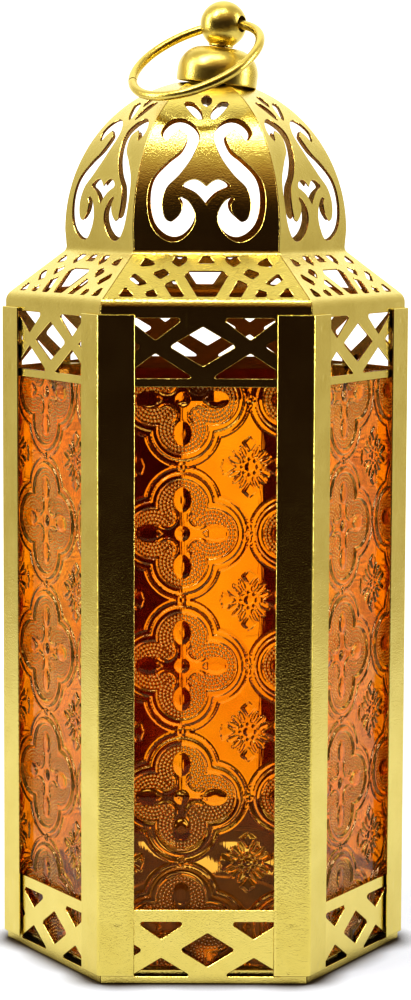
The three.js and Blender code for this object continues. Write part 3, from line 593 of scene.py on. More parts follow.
class Shape:
    """Vertices in millimetres and groups of faces with equally many corners. A sheet also has a
    normal for each face corner; marks are vertex attributes by name."""

    def __init__(self, vertices, faces, normals=None, marks=()):
        self.vertices = vertices
        self.faces = faces
        self.normals = normals
        self.marks = dict(marks)

    def moved(self, place):
        return Shape(place(self.vertices), self.faces)


def turn(points, angle):
    cos, sin = math.cos(angle), math.sin(angle)
    x, y, z = np.asarray(points, float).T
    return np.column_stack([x * cos - y * sin, x * sin + y * cos, z])


def make_piece(name, shape, finish, body="case", replaces=(), angle=0.0):
    """A piece of a shape turned about Z; its finish is a material and a slot, and the slot is not used."""
    material, slot = finish
    vertices = turn(shape.vertices, angle) * MM
    faces = [np.asarray(group, np.int32) for group in shape.faces if len(group)]
    corners = np.concatenate([group.ravel() for group in faces])
    sizes = np.concatenate([np.full(len(group), group.shape[1]) for group in faces])
    starts = np.concatenate([[0], np.cumsum(sizes)[:-1]]).astype(np.int32)
    mesh = bpy.data.meshes.new(name)
    mesh.vertices.add(len(vertices))
    mesh.vertices.foreach_set("co", vertices.astype(np.float32).ravel())
    mesh.loops.add(len(corners))
    mesh.loops.foreach_set("vertex_index", corners)
    mesh.polygons.add(len(sizes))
    mesh.polygons.foreach_set("loop_start", starts)
    mesh.update(calc_edges=True)
    mesh.polygons.foreach_set("use_smooth", np.ones(len(sizes), bool))
    if shape.normals is None:
        mesh.set_sharp_from_angle(angle=SHARP_ANGLE)
    else:
        mesh.normals_split_custom_set(turn(shape.normals, angle).tolist())
    for mark, values in shape.marks.items():
        kind, field = ("FLOAT", "value") if values.ndim == 1 else ("FLOAT_VECTOR", "vector")
        attribute = mesh.attributes.new(mark, kind, "POINT")
        attribute.data.foreach_set(field, values.astype(np.float32).ravel())
    mesh.materials.append(material)
    obj = add_to_scene(name, mesh)
    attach(obj, body)
    if replaces:
        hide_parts(*replaces)
    return obj


# ---------------------------------------------------------------- outlines and paths


def unit(vectors):
    return vectors / np.maximum(np.linalg.norm(vectors, axis=-1, keepdims=True), 1e-12)


def left_of(directions):
    return np.column_stack([-directions[:, 1], directions[:, 0]])


def oriented(loop, counterclockwise):
    loop = np.asarray(loop, float)
    x, y = loop.T
    area = 0.5 * float(np.sum(x * np.roll(y, -1) - np.roll(x, -1) * y))
    return loop if (area > 0) == counterclockwise else loop[::-1]


def mitres(ahead, behind):
    """Unit vectors to the left between two directions, and how far a mitre reaches along them."""
    sides = left_of(ahead)
    middle = unit(sides + left_of(behind))
    return middle, 1 / np.maximum(np.sum(middle * sides, 1), 0.6)


def left_normals(loop):
    ahead = unit(np.roll(loop, -1, 0) - loop)
    return mitres(ahead, np.roll(ahead, 1, 0))


def offset_path(path, distance):
    """Open path moved to its left."""
    ahead = unit(np.diff(path, axis=0))
    middle, reach = mitres(np.concatenate([ahead, ahead[-1:]]), np.concatenate([ahead[:1], ahead]))
    return path + middle * (distance * reach)[:, None]


def corner_sides(before, corner, after):
    """Unit vectors from a corner back and ahead, and half the angle between them."""
    back, ahead = unit(before - corner), unit(after - corner)
    return back, ahead, math.acos(max(-1.0, min(1.0, float(back @ ahead)))) / 2


def corner_arc(corner, back, ahead, half, reach, steps):
    """Arc that rounds a corner, from its reach behind the corner to its reach ahead."""
    centre = corner + unit(back + ahead) * (reach * math.tan(half)) / math.sin(half)
    first, last = corner + back * reach - centre, corner + ahead * reach - centre
    sweep = math.atan2(first[0] * last[1] - first[1] * last[0], float(first @ last))
    points = []
    for i in range(steps + 1):
        cos, sin = math.cos(sweep * i / steps), math.sin(sweep * i / steps)
        points.append(centre + (first[0] * cos - first[1] * sin, first[0] * sin + first[1] * cos))
    return points


def rounded(outline, radius, steps=5):
    """Closed outline with every corner rounded as far as its sides allow."""
    points = np.asarray(outline, float)
    result = []
    for before, corner, after in zip(np.roll(points, 1, 0), points, np.roll(points, -1, 0)):
        back, ahead, half = corner_sides(before, corner, after)
        if half > math.radians(88):
            result.append(corner)
            continue
        room = 0.45 * min(np.linalg.norm(before - corner), np.linalg.norm(after - corner))
        reach = min(radius / math.tan(half), room)
        result += corner_arc(corner, back, ahead, half, reach, steps)
    return np.array(result)


def fillet_path(points, radius, steps=8, lead=0.25):
    """Open path with rounded corners, with an extra point just before and after each arc."""
    points = np.asarray(points, float)
    result = [points[0]]
    for before, corner, after in zip(points, points[1:], points[2:]):
        back, ahead, half = corner_sides(before, corner, after)
        reach = radius / math.tan(half)
        arc = corner_arc(corner, back, ahead, half, reach, steps)
        result += [corner + back * (reach + lead), *arc, corner + ahead * (reach + lead)]
    return np.array(result + [points[-1]])


def divided(points, longest, closed=True):
    """Closed outline or open path with its long sides divided."""
    result = []
    for here, there in zip(points, np.roll(points, -1, 0) if closed else points[1:]):
        parts = max(1, math.ceil(np.linalg.norm(there - here) / longest))
        result.extend(here + (there - here) * i / parts for i in range(parts))
    return np.array(result if closed else [*result, points[-1]])


def arc_points(centre, radii, start, end, steps):
    """Points of an arc between two angles in degrees; one radius, or one across and one up."""
    angles = np.radians(np.linspace(start, end, steps + 1))
    return np.column_stack([np.cos(angles), np.sin(angles)]) * radii + centre


def spline(points, steps, closed=False):
    """Centripetal Catmull-Rom curve through points of any dimension, with its tangents."""
    points = np.asarray(points, float)
    count = len(points) if closed else len(points) - 1
    places, slopes = [], []
    for i in range(count):
        if closed:
            p0, p1, p2, p3 = (points[(i + k) % len(points)] for k in (-1, 0, 1, 2))
        else:
            p1, p2 = points[i], points[i + 1]
            p0 = points[i - 1] if i else 2 * p1 - p2
            p3 = points[i + 2] if i + 2 < len(points) else 2 * p2 - p1
        d0, d1, d2 = (math.sqrt(np.linalg.norm(b - a)) for a, b in ((p0, p1), (p1, p2), (p2, p3)))
        t1 = ((p1 - p0) / d0 - (p2 - p0) / (d0 + d1) + (p2 - p1) / d1) * d1
        t2 = ((p2 - p1) / d1 - (p3 - p1) / (d1 + d2) + (p3 - p2) / d2) * d1
        square = 3 * (p2 - p1) - 2 * t1 - t2
        cube = 2 * (p1 - p2) + t1 + t2
        last = steps + 1 if i == count - 1 and not closed else steps
        for t in (k / steps for k in range(last)):
            places.append(p1 + t1 * t + square * t**2 + cube * t**3)
            slopes.append(t1 + 2 * square * t + 3 * cube * t**2)
    return np.array(places), np.array(slopes)


def mirrored(outline):
    return [(-x, y) for x, y in outline][::-1]


# ---------------------------------------------------------------- sheets with holes


def inside_loops(points, loops):
    """True where a point has an odd number of loop sides to its right."""
    crossings = np.zeros(len(points), int)
    x, y = points[:, 0], points[:, 1]
    for loop in loops:
        for (x1, y1), (x2, y2) in zip(loop, np.roll(loop, -1, 0)):
            if y1 == y2:
                continue
            crossings += ((y1 > y) != (y2 > y)) & (x < (x2 - x1) * (y - y1) / (y2 - y1) + x1)
    return crossings % 2 == 1


def next_points(loops):
    """For every point of the loops in turn, the number of the one that follows it round its loop."""
    starts = np.cumsum([0] + [len(loop) for loop in loops[:-1]])
    return np.concatenate([np.roll(np.arange(len(loop)), -1) + start for loop, start in zip(loops, starts)])


def triangulated(loops, extra):
    """Constrained triangles between the loops; the points are the loops' own, then the extra ones."""
    points = np.concatenate([*loops, extra])
    vectors = [Vector(p) for p in points.tolist()]
    edges = list(enumerate(next_points(loops).tolist()))
    _, _, faces, sources, _, _ = delaunay_2d_cdt(vectors, edges, [], 0, 1e-7, True)
    index = np.array([source[0] if source else -1 for source in sources])
    triangles = index[np.array(faces)]
    triangles = triangles[(triangles >= 0).all(1)]
    return points, triangles[inside_loops(points[triangles].mean(1), loops)]


def sheet_shape(outer, holes, extra, place, thickness=SHEET):
    """A sheet with bevelled cut edges. place(points, depth) gives positions and the three directions
    across, up and out of the sheet there, for flat points and a depth under the outside."""
    loops = [oriented(outer, True)] + [oriented(hole, False) for hole in holes]
    normals = [left_normals(loop) for loop in loops]
    inner = [loop + normal * (EDGE * reach)[:, None] for loop, (normal, reach) in zip(loops, normals)]
    points, triangles = triangulated(inner, np.asarray(extra, float).reshape(-1, 2))
    rims = np.concatenate(loops)
    side = -np.concatenate([normal for normal, _ in normals])
    counts = [len(points), len(rims), len(rims), len(points)]
    starts = np.cumsum([0, *counts[:-1]])
    depths = (0.0, EDGE, thickness - EDGE, thickness)
    layers = [place(flat, depth) for flat, depth in zip((points, rims, rims, points), depths)]
    outward = layers[0][3]
    rim_outward = outward[:len(rims)]
    upper_side, lower_side = (across * side[:, :1] + up * side[:, 1:] for _, across, up, _ in layers[1:3])
    upper_bevel, lower_bevel = unit(upper_side + rim_outward), unit(lower_side - rim_outward)
    here, ahead = np.arange(len(rims)), next_points(loops)
    bands = ((upper_bevel, upper_bevel), (upper_side, lower_side), (lower_bevel, lower_bevel))
    quads, quad_normals = [], []
    for a, b, (first, second) in zip(starts, starts[1:], bands):
        quads.append(np.column_stack([b + here, b + ahead, a + ahead, a + here]))
        corners = [second[here], second[ahead], first[ahead], first[here]]
        quad_normals.append(np.stack(corners, 1).reshape(-1, 3))
    back = triangles[:, ::-1]
    corner_normals = np.concatenate([
        outward[triangles.ravel()], -layers[3][3][back.ravel()], *quad_normals])
    vertices = np.concatenate([layer[0] for layer in layers])
    faces = [triangles, back + starts[3], np.concatenate(quads)]
    # painted shade: the cut edges take it fully, the inside face most of it
    cut = np.repeat([0.0, 1.0, 1.0, INSIDE_SHADE], counts)
    return Shape(vertices, faces, unit(corner_normals), {"cut": cut})


def flat_place(outside):
    """Placing of a flat sheet that faces -Y at a distance from the axis."""
    def place(points, depth):
        count = len(points)
        positions = np.column_stack([points[:, 0], np.full(count, depth - outside), points[:, 1]])
        return positions, *(np.tile(v, (count, 1)) for v in ((1.0, 0, 0), (0, 0, 1.0), (0, -1.0, 0)))
    return place


# ---------------------------------------------------------------- wall sheets


def dome_arc():
    """Lengths up the dome from its foot, with the angle of the ellipse at each."""
    angles = np.linspace(0, math.acos(DOME_TIP_APOTHEM / DOME_APOTHEM), 2000)
    steps = np.hypot(DOME_APOTHEM * np.sin(angles), DOME_RISE * np.cos(angles))
    lengths = np.concatenate([[0], np.cumsum((steps[1:] + steps[:-1]) / 2 * np.diff(angles))])
    return lengths, angles


DOME_LENGTHS, DOME_ANGLES = dome_arc()
BLANK_TOP = DOME_ELLIPSE_START + DOME_LENGTHS[-1]


def straight_profile(s):
    """Apothem and height of the unbent corners' profile at lengths s, with its unit tangent."""
    s = np.asarray(s, float)
    angle = np.interp(s - DOME_ELLIPSE_START, DOME_LENGTHS, DOME_ANGLES)
    slope = np.array([SLOPE_TOP[0] - WALL_APOTHEM, SLOPE_TOP[1] - SLOPE_FOOT_Z]) / SLOPE_LENGTH
    riser = np.array([DOME_APOTHEM - SLOPE_TOP[0], DOME_FOOT_Z - SLOPE_TOP[1]]) / RISER
    up_slope, up_riser = (s - SLOPE_FOOT_Z)[:, None] * slope, (s - DOME_START)[:, None] * riser
    dome = np.column_stack([DOME_APOTHEM * np.cos(angle), DOME_FOOT_Z + DOME_RISE * np.sin(angle)])
    dome_tangent = unit(np.column_stack([-DOME_APOTHEM * np.sin(angle), DOME_RISE * np.cos(angle)]))
    wall = np.column_stack([np.full(s.shape, WALL_APOTHEM), s])
    zones = [(s < top)[:, None] for top in (SLOPE_FOOT_Z, DOME_START, DOME_ELLIPSE_START)]
    place = np.select(zones, [wall, up_slope + (WALL_APOTHEM, SLOPE_FOOT_Z), up_riser + SLOPE_TOP], dome)
    tangents = [np.tile(direction, (len(s), 1)) for direction in ((0.0, 1.0), slope, riser)]
    return place, np.select(zones, tangents, dome_tangent)


def bend_reach(corner, radius):
    """Length on each side of a bend that its arc takes up, the turn there and the tangent before."""
    _, (before, after) = straight_profile(np.array([corner - 0.5, corner + 0.5]))
    turn_angle = math.atan2(before[0] * after[1] - before[1] * after[0], float(before @ after))
    return radius * math.tan(abs(turn_angle) / 2), turn_angle, before


def profile(s):
    """Apothem and height on the outside of the bent sheet at lengths s of the blank, and the tangent."""
    place, tangent = straight_profile(s)
    for corner, radius in BENDS:
        reach, turn_angle, before = bend_reach(corner, radius)
        near = np.abs(s - corner) < reach
        start = straight_profile(np.array([corner - reach]))[0][0]
        angle = (s[near] - corner + reach) / (2 * reach) * turn_angle
        inward = math.copysign(1.0, turn_angle) * np.array([-before[1], before[0]])
        place[near] = (start + radius * np.sin(np.abs(angle))[:, None] * before
                       + radius * (1 - np.cos(angle))[:, None] * inward)
        tangent[near] = np.cos(angle)[:, None] * before + np.sin(np.abs(angle))[:, None] * inward
    return place, tangent


def wall_half_width(apothem):
    return (apothem - WALL_SEAM / SIN_HALF) * TAN_HALF


def wall_place(points, depth):
    place, tangent = profile(points[:, 1])
    normal = np.column_stack([tangent[:, 1], -tangent[:, 0]])
    place = place - normal * depth
    limit = wall_half_width(place[:, 0])
    x = np.clip(points[:, 0], -limit, limit)
    zero = np.zeros(len(x))
    positions = np.column_stack([x, -place[:, 0], place[:, 1]])
    across = np.tile((1.0, 0, 0), (len(x), 1))
    up = np.column_stack([zero, -tangent[:, 0], tangent[:, 1]])
    out = np.column_stack([zero, -normal[:, 0], normal[:, 1]])
    return positions, across, up, out


def wall_stations():
    """Lengths up the blank where the sheet is divided: fine over the bends and the dome."""
    stations = [np.linspace(0, SLOPE_FOOT_Z - bend_reach(*BENDS[0])[0], WALL_ROWS)]
    for corner, radius in BENDS:
        reach = bend_reach(corner, radius)[0]
        stations.append(np.linspace(corner - reach, corner + reach, BEND_ROWS))
    above_lower, below_upper, above_upper = BEND_MARGINS
    stations.append(np.linspace(SLOPE_FOOT_Z + above_lower, DOME_START - below_upper, SLOPE_ROWS))
    stations.append(np.linspace(DOME_START + above_upper, BLANK_TOP, DOME_ROWS))
    return np.unique(np.round(np.concatenate(stations), 4))


def lattice_band(shift, heights, halves, diamond, lip):
    """Openings of a band: a diamond, and on both sides a triangle, a house shape and half a diamond."""
    top, upper_tip, middle, lower_tip, bottom = heights
    upper, side, lower = halves
    outlines = [[(shift - side, middle), (shift, middle - diamond),
                 (shift + side, middle), (shift, middle + diamond)]]
    for sign in (-1, 1):
        centre = shift + sign * LATTICE_PITCH
        edge = sign * LATTICE_LIMIT
        tip = shift + sign * (2 * LATTICE_PITCH - side)
        cut = diamond * abs(edge - tip) / side
        spans = [(centre - half, centre + half) for half in (upper, lower)]
        (left, right), (low_left, low_right) = np.clip(spans, -LATTICE_LIMIT, LATTICE_LIMIT)
        outlines.append([(left, top), (centre, upper_tip), (right, top)])
        outlines.append([(low_left, bottom), (low_right, bottom), (low_right, bottom + lip),
                         (centre, lower_tip), (low_left, bottom + lip)])
        outlines.append([(tip, middle), (edge, middle - cut), (edge, middle + cut)])
    return outlines


def stroke(stations, steps):
    """Outline of a stroke that follows a spline and changes width on the way."""
    places, slopes = spline(stations, steps)
    side = unit(left_of(slopes)) * places[:, 2:3]
    left, right = places[:, :2] + side, places[:, :2] - side
    outline = np.concatenate([left, right[::-1]])
    apart = np.linalg.norm(outline[:, None] - places[None, :, :2], axis=2) - places[None, :, 2]
    kept = np.flatnonzero(apart.min(1) > -FOLD_DEPTH)
    gaps = np.flatnonzero(np.diff(kept) > 1)
    folds = (outline[kept[gaps]] + outline[kept[gaps + 1]]) / 2
    points = spline(outline[kept], 2, closed=True)[0]
    for _ in range(FOLD_SMOOTHING):
        near = np.min(np.linalg.norm(points[:, None] - folds[None], axis=2), axis=1)
        even = (np.roll(points, 1, 0) + np.roll(points, -1, 0)) / 2
        points = points + (even - points) * np.exp(-(near / FOLD_REACH) ** 2)[:, None]
    return points


def dome_holes():
    scroll = stroke(SCROLL, 7)
    leaf = spline(LEAF, 5, closed=True)[0]
    halves = [spline(half, 5)[0] for half in (HEART, TEARDROP)]
    wholes = [np.concatenate([half, mirrored(half[1:-1])]) for half in halves]
    outlines = [scroll, leaf, np.array(mirrored(scroll)), np.array(mirrored(leaf)), *wholes]
    return [outline + (0, DOME_START) for outline in outlines]


def rectangle(left, right, bottom, top):
    return [(left, bottom), (right, bottom), (right, top), (left, top)]


def wall_holes(window_half_width):
    bands = lattice_band(**UPPER_LATTICE) + lattice_band(**LOWER_LATTICE)
    slopes = SLOPE_MIDDLE + SLOPE_SIDE + [mirrored(outline) for outline in SLOPE_SIDE]
    holes = [rounded(outline, LATTICE_CORNER) for outline in bands]
    holes.append(rounded(rectangle(-window_half_width, window_half_width, *WINDOW), WINDOW_CORNER))
    holes += [rounded(outline, SLOPE_CORNER) + (0, SLOPE_FOOT_Z) for outline in slopes]
    return [divided(hole, HOLE_STEP) for hole in holes] + dome_holes()


def wall_shape(window_half_width):
    stations = wall_stations()
    halves = wall_half_width(profile(stations)[0][:, 0])
    foot = [(x, 0.0) for x in np.linspace(-halves[0], halves[0], 12)[1:-1]]
    top = [(x, stations[-1]) for x in np.linspace(-halves[-1], halves[-1], 6)[-2:0:-1]]
    right, left = np.column_stack([halves, stations]), np.column_stack([-halves, stations])
    outer = np.concatenate([foot, right, top, left[::-1]])
    holes = wall_holes(window_half_width)
    grid = []
    for s, half in zip(stations[:-1], halves):
        if s < SLOPE_FOOT_Z - 3:
            continue
        grid.extend((x, s) for x in np.linspace(-half, half, max(4, round(half / GRID_PITCH)))[1:-1])
    grid = np.array(grid)
    rims = np.concatenate([outer, *holes])
    clear = np.array([np.min(np.hypot(*(rims - p).T)) > GRID_CLEARANCE for p in grid])
    grid = grid[clear & inside_loops(grid, [outer, *holes])]
    return sheet_shape(outer, holes, grid, wall_place)


def build_walls(gold):
    windowed = wall_shape(WINDOW_HALF_WIDTH)
    rear = wall_shape(DOOR_OPENING_HALF_WIDTH)
    for i, face in enumerate(FACES):
        shape = rear if face == "rear" else windowed
        make_piece(f"sheet_{face}", shape, gold, replaces=[f"wall_{face}"], angle=i * SIXTH)


# ---------------------------------------------------------------- tubes and turned parts


def tube(rings, closed=False):
    """Rings of equally many vertices joined in turn, capped at both ends or closed to a loop."""
    here = np.arange(len(rings[0]))
    ahead = np.roll(here, -1)
    starts = np.arange(len(rings)) * len(here)
    quads = np.concatenate([
        np.column_stack([a + here, a + ahead, b + ahead, b + here])
        for a, b in zip(starts, np.roll(starts, -1) if closed else starts[1:])])
    caps = [] if closed else np.stack([here[::-1], starts[-1] + here])
    return Shape(np.concatenate(rings), [quads, caps])


def turned_ring(radius, height, segments):
    """Vertices about Z, with one radius or one for each vertex."""
    angles = np.arange(segments) * 2 * math.pi / segments
    return np.column_stack([radius * np.cos(angles), radius * np.sin(angles), np.full(segments, height)])


def lathe(points, segments, longest):
    """Piece turned about Z from (radius, height) points that start and end on the axis."""
    path = divided(np.array(points, float), longest, closed=False)
    rings = [turned_ring(radius, height, segments) for radius, height in path[1:-1]]
    here = np.arange(segments)
    ahead = np.roll(here, -1)
    count = len(rings) * segments
    top = count - segments
    fans = np.concatenate([
        np.column_stack([np.full(segments, count), ahead, here]),
        np.column_stack([np.full(segments, count + 1), top + here, top + ahead])])
    tips = [(0, 0, path[0, 1]), (0, 0, path[-1, 1])]
    return Shape(np.concatenate([*rings, tips]), [tube(rings).faces[0], fans])


def hollow_lathe(points, segments, longest):
    """Ring-shaped piece turned about Z from a closed outline of (radius, height) points."""
    path = oriented(divided(np.array(points, float), longest), True)
    return tube([turned_ring(radius, height, segments) for radius, height in path], closed=True)


# ---------------------------------------------------------------- bent strips and clips


def sheet_ring(path, thickness, edge=EDGE):
    """Closed section of a bent sheet whose outside is the path and whose metal lies to its left."""
    inner = offset_path(path, thickness)
    start, end = unit(path[1] - path[0]), unit(path[-1] - path[-2])
    start_in, end_in = unit(inner[0] - path[0]), unit(inner[-1] - path[-1])
    return np.concatenate([
        [path[0] + start * edge], path[1:-1], [path[-1] - end * edge],
        [path[-1] + end_in * edge, inner[-1] - end_in * edge],
        [inner[-1] - end * edge], inner[1:-1][::-1], [inner[0] + start * edge],
        [inner[0] - start_in * edge, path[0] + start_in * edge],
    ])


def swept(section, stations, place, edge=EDGE):
    """Section carried along stations, with a small bevel around both ends.
    place(points, station) turns section points at one station into positions."""
    section = oriented(section, True)
    middle, reach = left_normals(section)
    inset = section + middle * (edge * reach)[:, None]
    first, *between, last = stations
    levels = [(inset, first), (section, first + edge), *((section, station) for station in between),
              (section, last - edge), (inset, last)]
    return tube([place(points, station) for points, station in levels])


def upright(points, height):
    """Section in the ground plane, carried upwards."""
    return np.column_stack([points, np.full(len(points), height)])


def sideways(points, across):
    """Section as (apothem, height) of a part that faces -Y, carried across it."""
    return np.column_stack([np.full(len(points), across), -points[:, 0], points[:, 1]])


def strip_shape(legs):
    """Corner strip about +X with a leg's length for each side: folded sheet with spot-weld dimples."""
    tip = np.array([STRIP_APOTHEM / COS_HALF, 0.0])
    along = {side: np.array([-SIN_HALF, side * COS_HALF]) for side in legs}
    out = {side: np.array([COS_HALF, side * SIN_HALF]) for side in legs}
    ends = [tip + along[side] * legs[side] for side in (-1, 1)]
    path = divided(fillet_path([ends[0], tip, ends[1]], STRIP_FOLD), STRIP_STEPS[0], closed=False)
    dense = [height + step for _, height in WELDS for step in np.arange(*WELD_ROWS)]
    stations = np.concatenate([np.arange(*STRIP_SPAN, STRIP_STEPS[1]), [STRIP_SPAN[1]], dense])
    stations = np.unique(np.round(stations, 3))
    stations = stations[(stations >= STRIP_SPAN[0]) & (stations <= STRIP_SPAN[1])]
    shape = swept(sheet_ring(path, SHEET), stations, upright)
    flat, height = shape.vertices[:, :2], shape.vertices[:, 2]
    for side in legs:
        for shift, weld_height in WELDS:
            offset = flat - (tip + along[side] * (legs[side] * WELD_SHARE + shift))
            away = np.hypot(offset @ along[side], height - weld_height)
            dent = WELD_DEPTH * np.exp(-(away / WELD_RADIUS) ** 2) * (np.abs(offset @ out[side]) < 1)
            flat -= dent[:, None] * out[side]
    return shape


def build_strips(gold):
    for i, corner in enumerate(CORNERS):
        legs = {-1: STRIP_DOOR_LEG if corner == "rear_left" else STRIP_LEG,
                1: STRIP_DOOR_LEG if corner == "rear_right" else STRIP_LEG}
        make_piece(f"strip_{corner}", strip_shape(legs), gold, replaces=[f"corner_strip_{corner}"],
                   angle=(i - 1) * SIXTH)


def clip_shape(outside, edge, direction, tail, shift):
    """Bent clip: tail on the metal, ledge past the pane's edge and lip behind the pane."""
    ledge = edge + direction * CLIP_GAP
    shelf = ledge + direction * SHEET
    tail_back = outside + CLIP_SEAT - SHEET
    lip_back = outside - PANE_THICKNESS - CLIP_GAP - SHEET
    path = np.array([(tail_back, shelf + direction * tail), (tail_back, shelf), (lip_back, shelf),
                     (lip_back, ledge - direction * CLIP_LIP)])
    if tail > DOOR_CLIP_TAIL:
        path = fillet_path(path, CLIP_BEND, 4, 0.05)
    section = sheet_ring(path[::direction], SHEET, FINE_EDGE)
    return swept(section, [shift - CLIP_HALF_WIDTH, shift + CLIP_HALF_WIDTH], sideways, FINE_EDGE)


def build_clips(gold):
    ends = (("top", PANE_SPAN[1], DOOR_PANE_SPAN[1], 1, UPPER_LATTICE),
            ("foot", PANE_SPAN[0], DOOR_PANE_SPAN[0], -1, LOWER_LATTICE))
    for i, face in enumerate(FACES):
        if face == "rear":
            continue
        for end, edge, _, direction, lattice in ends:
            shape = clip_shape(PANE_OUTSIDE, edge, direction, CLIP_TAILS[end], lattice["shift"])
            make_piece(f"clip_{end}_{face}", shape, gold, replaces=[f"{end}_clip_{face}"], angle=i * SIXTH)
    for end, _, edge, direction, _ in ends:
        shape = clip_shape(DOOR_PANE_OUTSIDE, edge, direction, DOOR_CLIP_TAIL, 0.0)
        make_piece(f"clip_{end}_door", shape, gold, body="door", replaces=[f"door_{end}_clip"], angle=REAR)


# ---------------------------------------------------------------- pressed glass


def hump(distance, half_width):
    """Rounded ridge: 1 where the distance is 0, nothing beyond the half width."""
    return np.clip(1 - (distance / half_width) ** 2, 0, 1)


def plateau(distance, half_width):
    """Flat-topped ridge with steep sides."""
    return np.clip(1 - (distance / half_width) ** 4, 0, 1)


def ridge(form, distance, size):
    share, middle, half_width = size
    return share * form(distance - middle, half_width)


def lobe_distances(x, z):
    """Places along and across the nearest lobe; distances from its middle, from its oval (1 on the
    rim) and from the nearest curved ridge's middle; and whether the point lies inside that middle."""
    ax, az = np.abs(x), np.abs(z)
    along, across = np.maximum(ax, az), np.minimum(ax, az)
    lobe = np.hypot(along - LOBE, across)
    oval = np.hypot((along - OVAL[0]) / OVAL[1], across / OVAL[2])
    nook = np.hypot(ax - NOOK, az - NOOK)
    return along, across, lobe, oval, nook, ax + az < 2 * NOOK


def beaded(x, z):
    """Position about the nearest lobe's middle, and 1 where that lobe is beaded."""
    along, across, lobe, oval, nook, inside = lobe_distances(x, z)
    stem = (across < 1.6) & (along < 6.2)
    smooth = (oval < 1.15) | (inside & (nook > 2.1)) | stem | (lobe > BEADED_RADIUS)
    return np.stack([along - LOBE, across, 1.0 - smooth], -1)


def quatrefoil(x, z):
    """Four lobes in a flat band, each with an oval, around a small disc between four curved ridges."""
    _, _, lobe, oval, nook, inside = lobe_distances(x, z)
    ax = np.abs(x)
    wedge = np.interp(ax, WEDGE, WEDGE_HALVES)
    return np.maximum.reduce([
        ridge(plateau, lobe, LOBE_BAND), ridge(hump, lobe, LOBE_LINE),
        ridge(plateau, nook, NOOK_RIDGE) * inside, ridge(plateau, oval, OVAL_TOP),
        ridge(plateau, np.hypot(x, z), MIDDLE_DISC),
        WEDGE_SHARE * plateau(z, wedge) * (ax > WEDGE[0]) * (ax < WEDGE[1])])


def daisy(x, z):
    """A disc with eight beads and three thin petals in each quarter, between four pointed fans."""
    ax, az = np.abs(x), np.abs(z)
    radius = np.hypot(x, z)
    bearing = np.arctan2(az, ax)
    spoke = np.abs(bearing - np.round(bearing * 4 / np.pi) * np.pi / 4) * radius
    beads = ridge(hump, np.hypot(radius - DAISY_BEAD_CIRCLE, spoke), DAISY_BEAD)
    height = np.maximum(ridge(plateau, radius, DAISY_DISC), beads)
    foot, length, half_width = PETAL
    width = half_width * np.sin(np.pi * np.clip((radius - foot) / length, 0, 1)) ** 0.5
    for petal in PETAL_BEARINGS:
        across = radius * np.sin(bearing - math.radians(petal))
        top = DAISY_SHARE * plateau(across, np.maximum(width, 0.01)) * (width > 0.02)
        height = np.maximum(height, top)
    for along, aside, (reach, half_width) in ((az, ax, UPRIGHT_FAN), (ax, az, LEVEL_FAN)):
        fan = np.interp(along, reach, (0.01, half_width, 0.01))
        height = np.maximum(height, DAISY_SHARE * plateau(aside, fan) * (fan > 0.05))
    return height


def folded(value, middle):
    """Distance from the nearest of the points that lie one pitch apart from the middle."""
    return (value - middle + PITCH / 2) % PITCH - PITCH / 2


def relief(x, z):
    """Height of the pressed pattern, from 0 to 1, at points across and up a pane."""
    cx, cz = folded(x, QUATREFOIL[0]), folded(z, QUATREFOIL[1])
    dx, dz = folded(x, QUATREFOIL[0] + PITCH / 2), folded(z, QUATREFOIL[1] + PITCH / 2)
    height = np.maximum(quatrefoil(cx, cz), daisy(dx, dz))
    for jx, jz in ((dx, cz), (cx, dz)):
        height = np.maximum(height, ridge(hump, np.hypot(jx, jz), SMALL_RING))
    return height


def pane_shape(half_width, span, outside, depth, mark_share):
    """A pressed pane, patterned outside and flat inside, that marks its beads and steep flanks."""
    step = PANE_STEP
    columns = round(2 * half_width / step) + 1
    rows = round((span[1] - span[0]) / step) + 1
    x, z = np.meshgrid(np.linspace(-half_width, half_width, columns), np.linspace(*span, rows))
    border = np.minimum(half_width - np.abs(x), np.minimum(z - span[0], span[1] - z))
    height = relief(x, z) * np.clip(border / PANE_BORDER, 0, 1)
    y = -(outside - depth + depth * height)
    front = np.column_stack([x.ravel(), y.ravel(), z.ravel()])
    index = np.arange(rows * columns).reshape(rows, columns)
    quads = np.stack([index[:-1, :-1], index[:-1, 1:], index[1:, 1:], index[1:, :-1]], -1).reshape(-1, 4)
    rim = np.concatenate([index[0], index[1:, -1], index[-1, -2::-1], index[-2:0:-1, 0]])
    back = front[rim] * (1, 0, 1) + (0, PANE_THICKNESS - outside, 0)
    here = len(front) + np.arange(len(rim))
    sides = np.column_stack([rim, here, np.roll(here, -1), np.roll(rim, -1)])
    beads = beaded(folded(x, QUATREFOIL[0]), folded(z, QUATREFOIL[1])).reshape(-1, 3)
    flanks = np.clip(np.hypot(*np.gradient(height, step)) - FLANK_SLOPE, 0, 1).ravel()
    marks = {"beads": np.concatenate([beads * (1, 1, mark_share), np.zeros((len(back), 3))]),
             "flanks": np.concatenate([flanks * mark_share, np.zeros(len(back))])}
    return Shape(np.concatenate([front, back]), [quads, sides, here[::-1][None]], marks=marks)


def build_panes(amber):
    shape = pane_shape(PANE_HALF_WIDTH, PANE_SPAN, PANE_OUTSIDE, RELIEF, 1.0)
    for i, face in enumerate(FACES):
        if face != "rear":
            make_piece(f"pane_{face}", shape, amber, replaces=[f"glass_{face}"], angle=i * SIXTH)
    shape = pane_shape(
        DOOR_PANE_HALF_WIDTH, DOOR_PANE_SPAN, DOOR_PANE_OUTSIDE, RELIEF * DOOR_RELIEF, DOOR_MARKS)
    make_piece("pane_door", shape, amber, body="door", replaces=["door_glass"], angle=REAR)


# ---------------------------------------------------------------- door, hinges and latch


